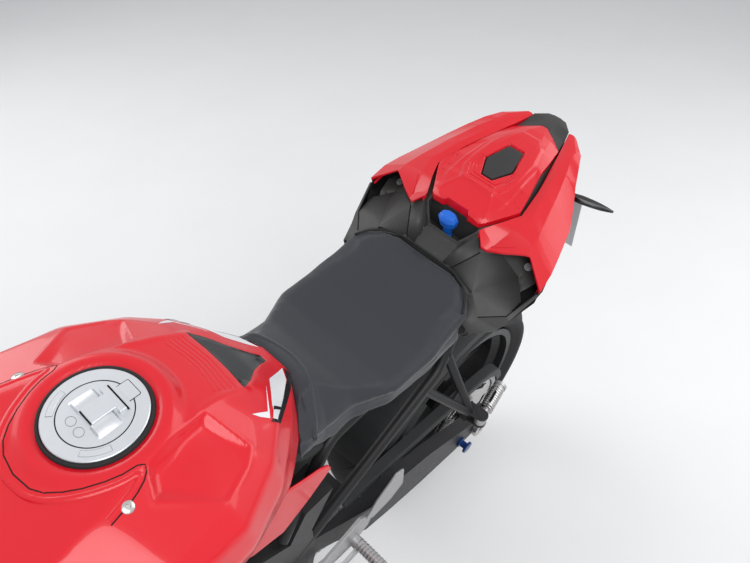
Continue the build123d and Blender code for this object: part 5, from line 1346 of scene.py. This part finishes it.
def cockpit():
    """Instrument face and mirror glass; both without marks."""
    slope = Vector((22, 0, 54)).normalized()
    out = Vector((-54, 0, 22)).normalized()

    def on_face(up, left, lift):
        return Vector((1214, 0, 946)) + slope * up + LEFT * left + out * lift

    def panel(low, high, right, left, lift):
        return [on_face(low, right, lift), on_face(low, left, lift), on_face(high, left, lift),
                on_face(high, right, lift)]

    piece("dash_face", Shape().prism(panel(5, 51, -62, 62, 0.2), out * 1.2), BLACK_GLOSS, bevel=0.5)
    dials = Shape()
    for r, w in ((20, 1.0), (14, 0.5)):
        dials.turned([(r, 0), (r, 1.2), (r - w, 1.2), (r - w, 0)], on_face(28, 30, 1.4), out, 40)
    dials.prism(panel(14, 42, -52, 2, 1.4), out * 0.5)
    piece("dash_dials", dials, GREY, sharp=40)
    glass = Shape()
    for side in (1, -1):
        glass.prism([(1261.2, side * y, z) for y, z in (
            (268, 998), (275, 1039), (352, 1046), (366, 1028), (348, 998))], (0.9, 0, 0))
    piece("mirror_glass", glass, MIRROR, bevel=0.4)


def silencer_details():
    start, end = Vector((500, -208, 284)), Vector((200, -224, 420))
    along = (end - start).normalized()
    side = along.orthogonal().normalized()
    bands = Shape()
    rivets = Shape()
    for spot in (70, 300):
        at = start + along * spot
        bands.turned([(46.0, 0), (47.5, 0.6), (47.5, 11.4), (46.0, 12)], at, along, 56, ends=False)
        for a in angles(14):
            way = about(side, along.cross(side), a)
            rivets.turned([(2.6, 0), (2.2, 0.5), (0.8, 0.7)], at + along * 6 + way * 47.0, way, 10)
    bands.turned([(30.4, 14), (32, 12), (40, 2), (46.8, -1), (46.8, -6)], end, along, 56, ends=False)
    bands.turned([(28.6, 0), (31, 1), (31, 9), (28.6, 10)], start - along * 3, along, 40, ends=False)
    piece("silencer_bands", bands, DARK_ALLOY, sharp=35)
    piece("silencer_rivets", rivets, STEEL, sharp=60)


def foot_pieces():
    """Grip ribs on the footrests and a strip of painted shade for the slot along each passenger's footrest.
    """
    for side, label in SIDES:
        ribs = Shape()
        add_ribs(ribs, Vector((440, side * 176, 400)), LEFT * side * 7.2, 9, (11.3, 1.7), (12.6, 1.0), 20)
        piece(f"footrest_ribs_{label}", ribs, STEEL, sharp=40)
        pivot = Vector((144, side * 203, 556))
        points = read(copy_of(f"passenger_peg_{label}"))
        reach = np.linalg.norm(points - np.array(pivot), axis=1)
        tip = Vector(points[reach > reach.max() - 14].mean(axis=0))
        along = (tip - pivot).normalized()
        ribs = Shape()
        add_ribs(ribs, pivot + along * 26, along * 5.8, 10, (12.6, 1.3), (13.6, 0.7), 20)
        piece(f"passenger_ribs_{label}", ribs, STEEL, f"peg_{label}", sharp=40)
        up = (Vector((0, 0, 1)) - along * along.z).normalized()
        cross = along.cross(up)
        # Painted shade: a thin dark strip on top of the footrest stands for its slot.
        slot = Shape().prism([pivot + along * a + cross * c + up * 13.9 for a, c in (
            (38, -2.6), (64, -2.6), (67, 0), (64, 2.6), (38, 2.6), (35, 0))], up * 0.4)
        piece(f"passenger_slot_shade_{label}", slot, SHADOW, f"peg_{label}")


FAIRING_SCREWS = [(720, 690), (1010, 760), (1130, 700), (930, 420), (700, 330), (820, 250), (1060, 560)]


def fairing_screws():
    screws = Shape()
    for side, label in SIDES:
        for name in (f"side_fairing_{label}", "belly_pan"):
            surface = surface_of(copy_of(name))
            for x, z in FAIRING_SCREWS:
                spot, normal, _, _ = surface.ray_cast(Vector((x, side * 400, z)), LEFT * -side)
                # A ray beside the shell's outline may meet the other side of the motorcycle.
                if spot is None or spot.y * side < 100:
                    continue
                if normal.y * side < 0:
                    normal = -normal
                screws.turned([(6.2, -0.6), (6.2, 0.8), (5.2, 1.6), (2.6, 1.7), (2.2, 0.5)], spot, normal, 24)
    piece("fairing_screws", screws, GREY, sharp=40)


# Angle in degrees under which the edges of a smooth shell are shaded as one surface
SHELL_ANGLES = {
    "nose_cowl": 52, "side_fairing_left": 46, "side_fairing_right": 46, "belly_pan": 46,
    "front_fender": 55, "rear_hugger": 50, "windscreen": 62, "headlamps": 50, "mirrors": 40,
}
THIN_NODES = ("windscreen", "headlamps", "grips", "front_brake_discs", "rear_brake_disc")


def remaining():
    """Every other CAD node gets rounded edges and smooth shading."""
    for node in sorted(set(NODES) - REPLACED):
        refined(node, f"{node}_form", bevel=0.4 if node in THIN_NODES else 1.1,
                sharp=SHELL_ANGLES.get(node, 32))


# Build

tank_graphics(tank_cover())
filler_cap()
seat()
knob()
hump()
tail()
chain_guard()
side_panels()
wheels()
chain()
engine_details()
shock_spring()
fork_details()
cockpit()
silencer_details()
foot_pieces()
fairing_screws()
remaining()
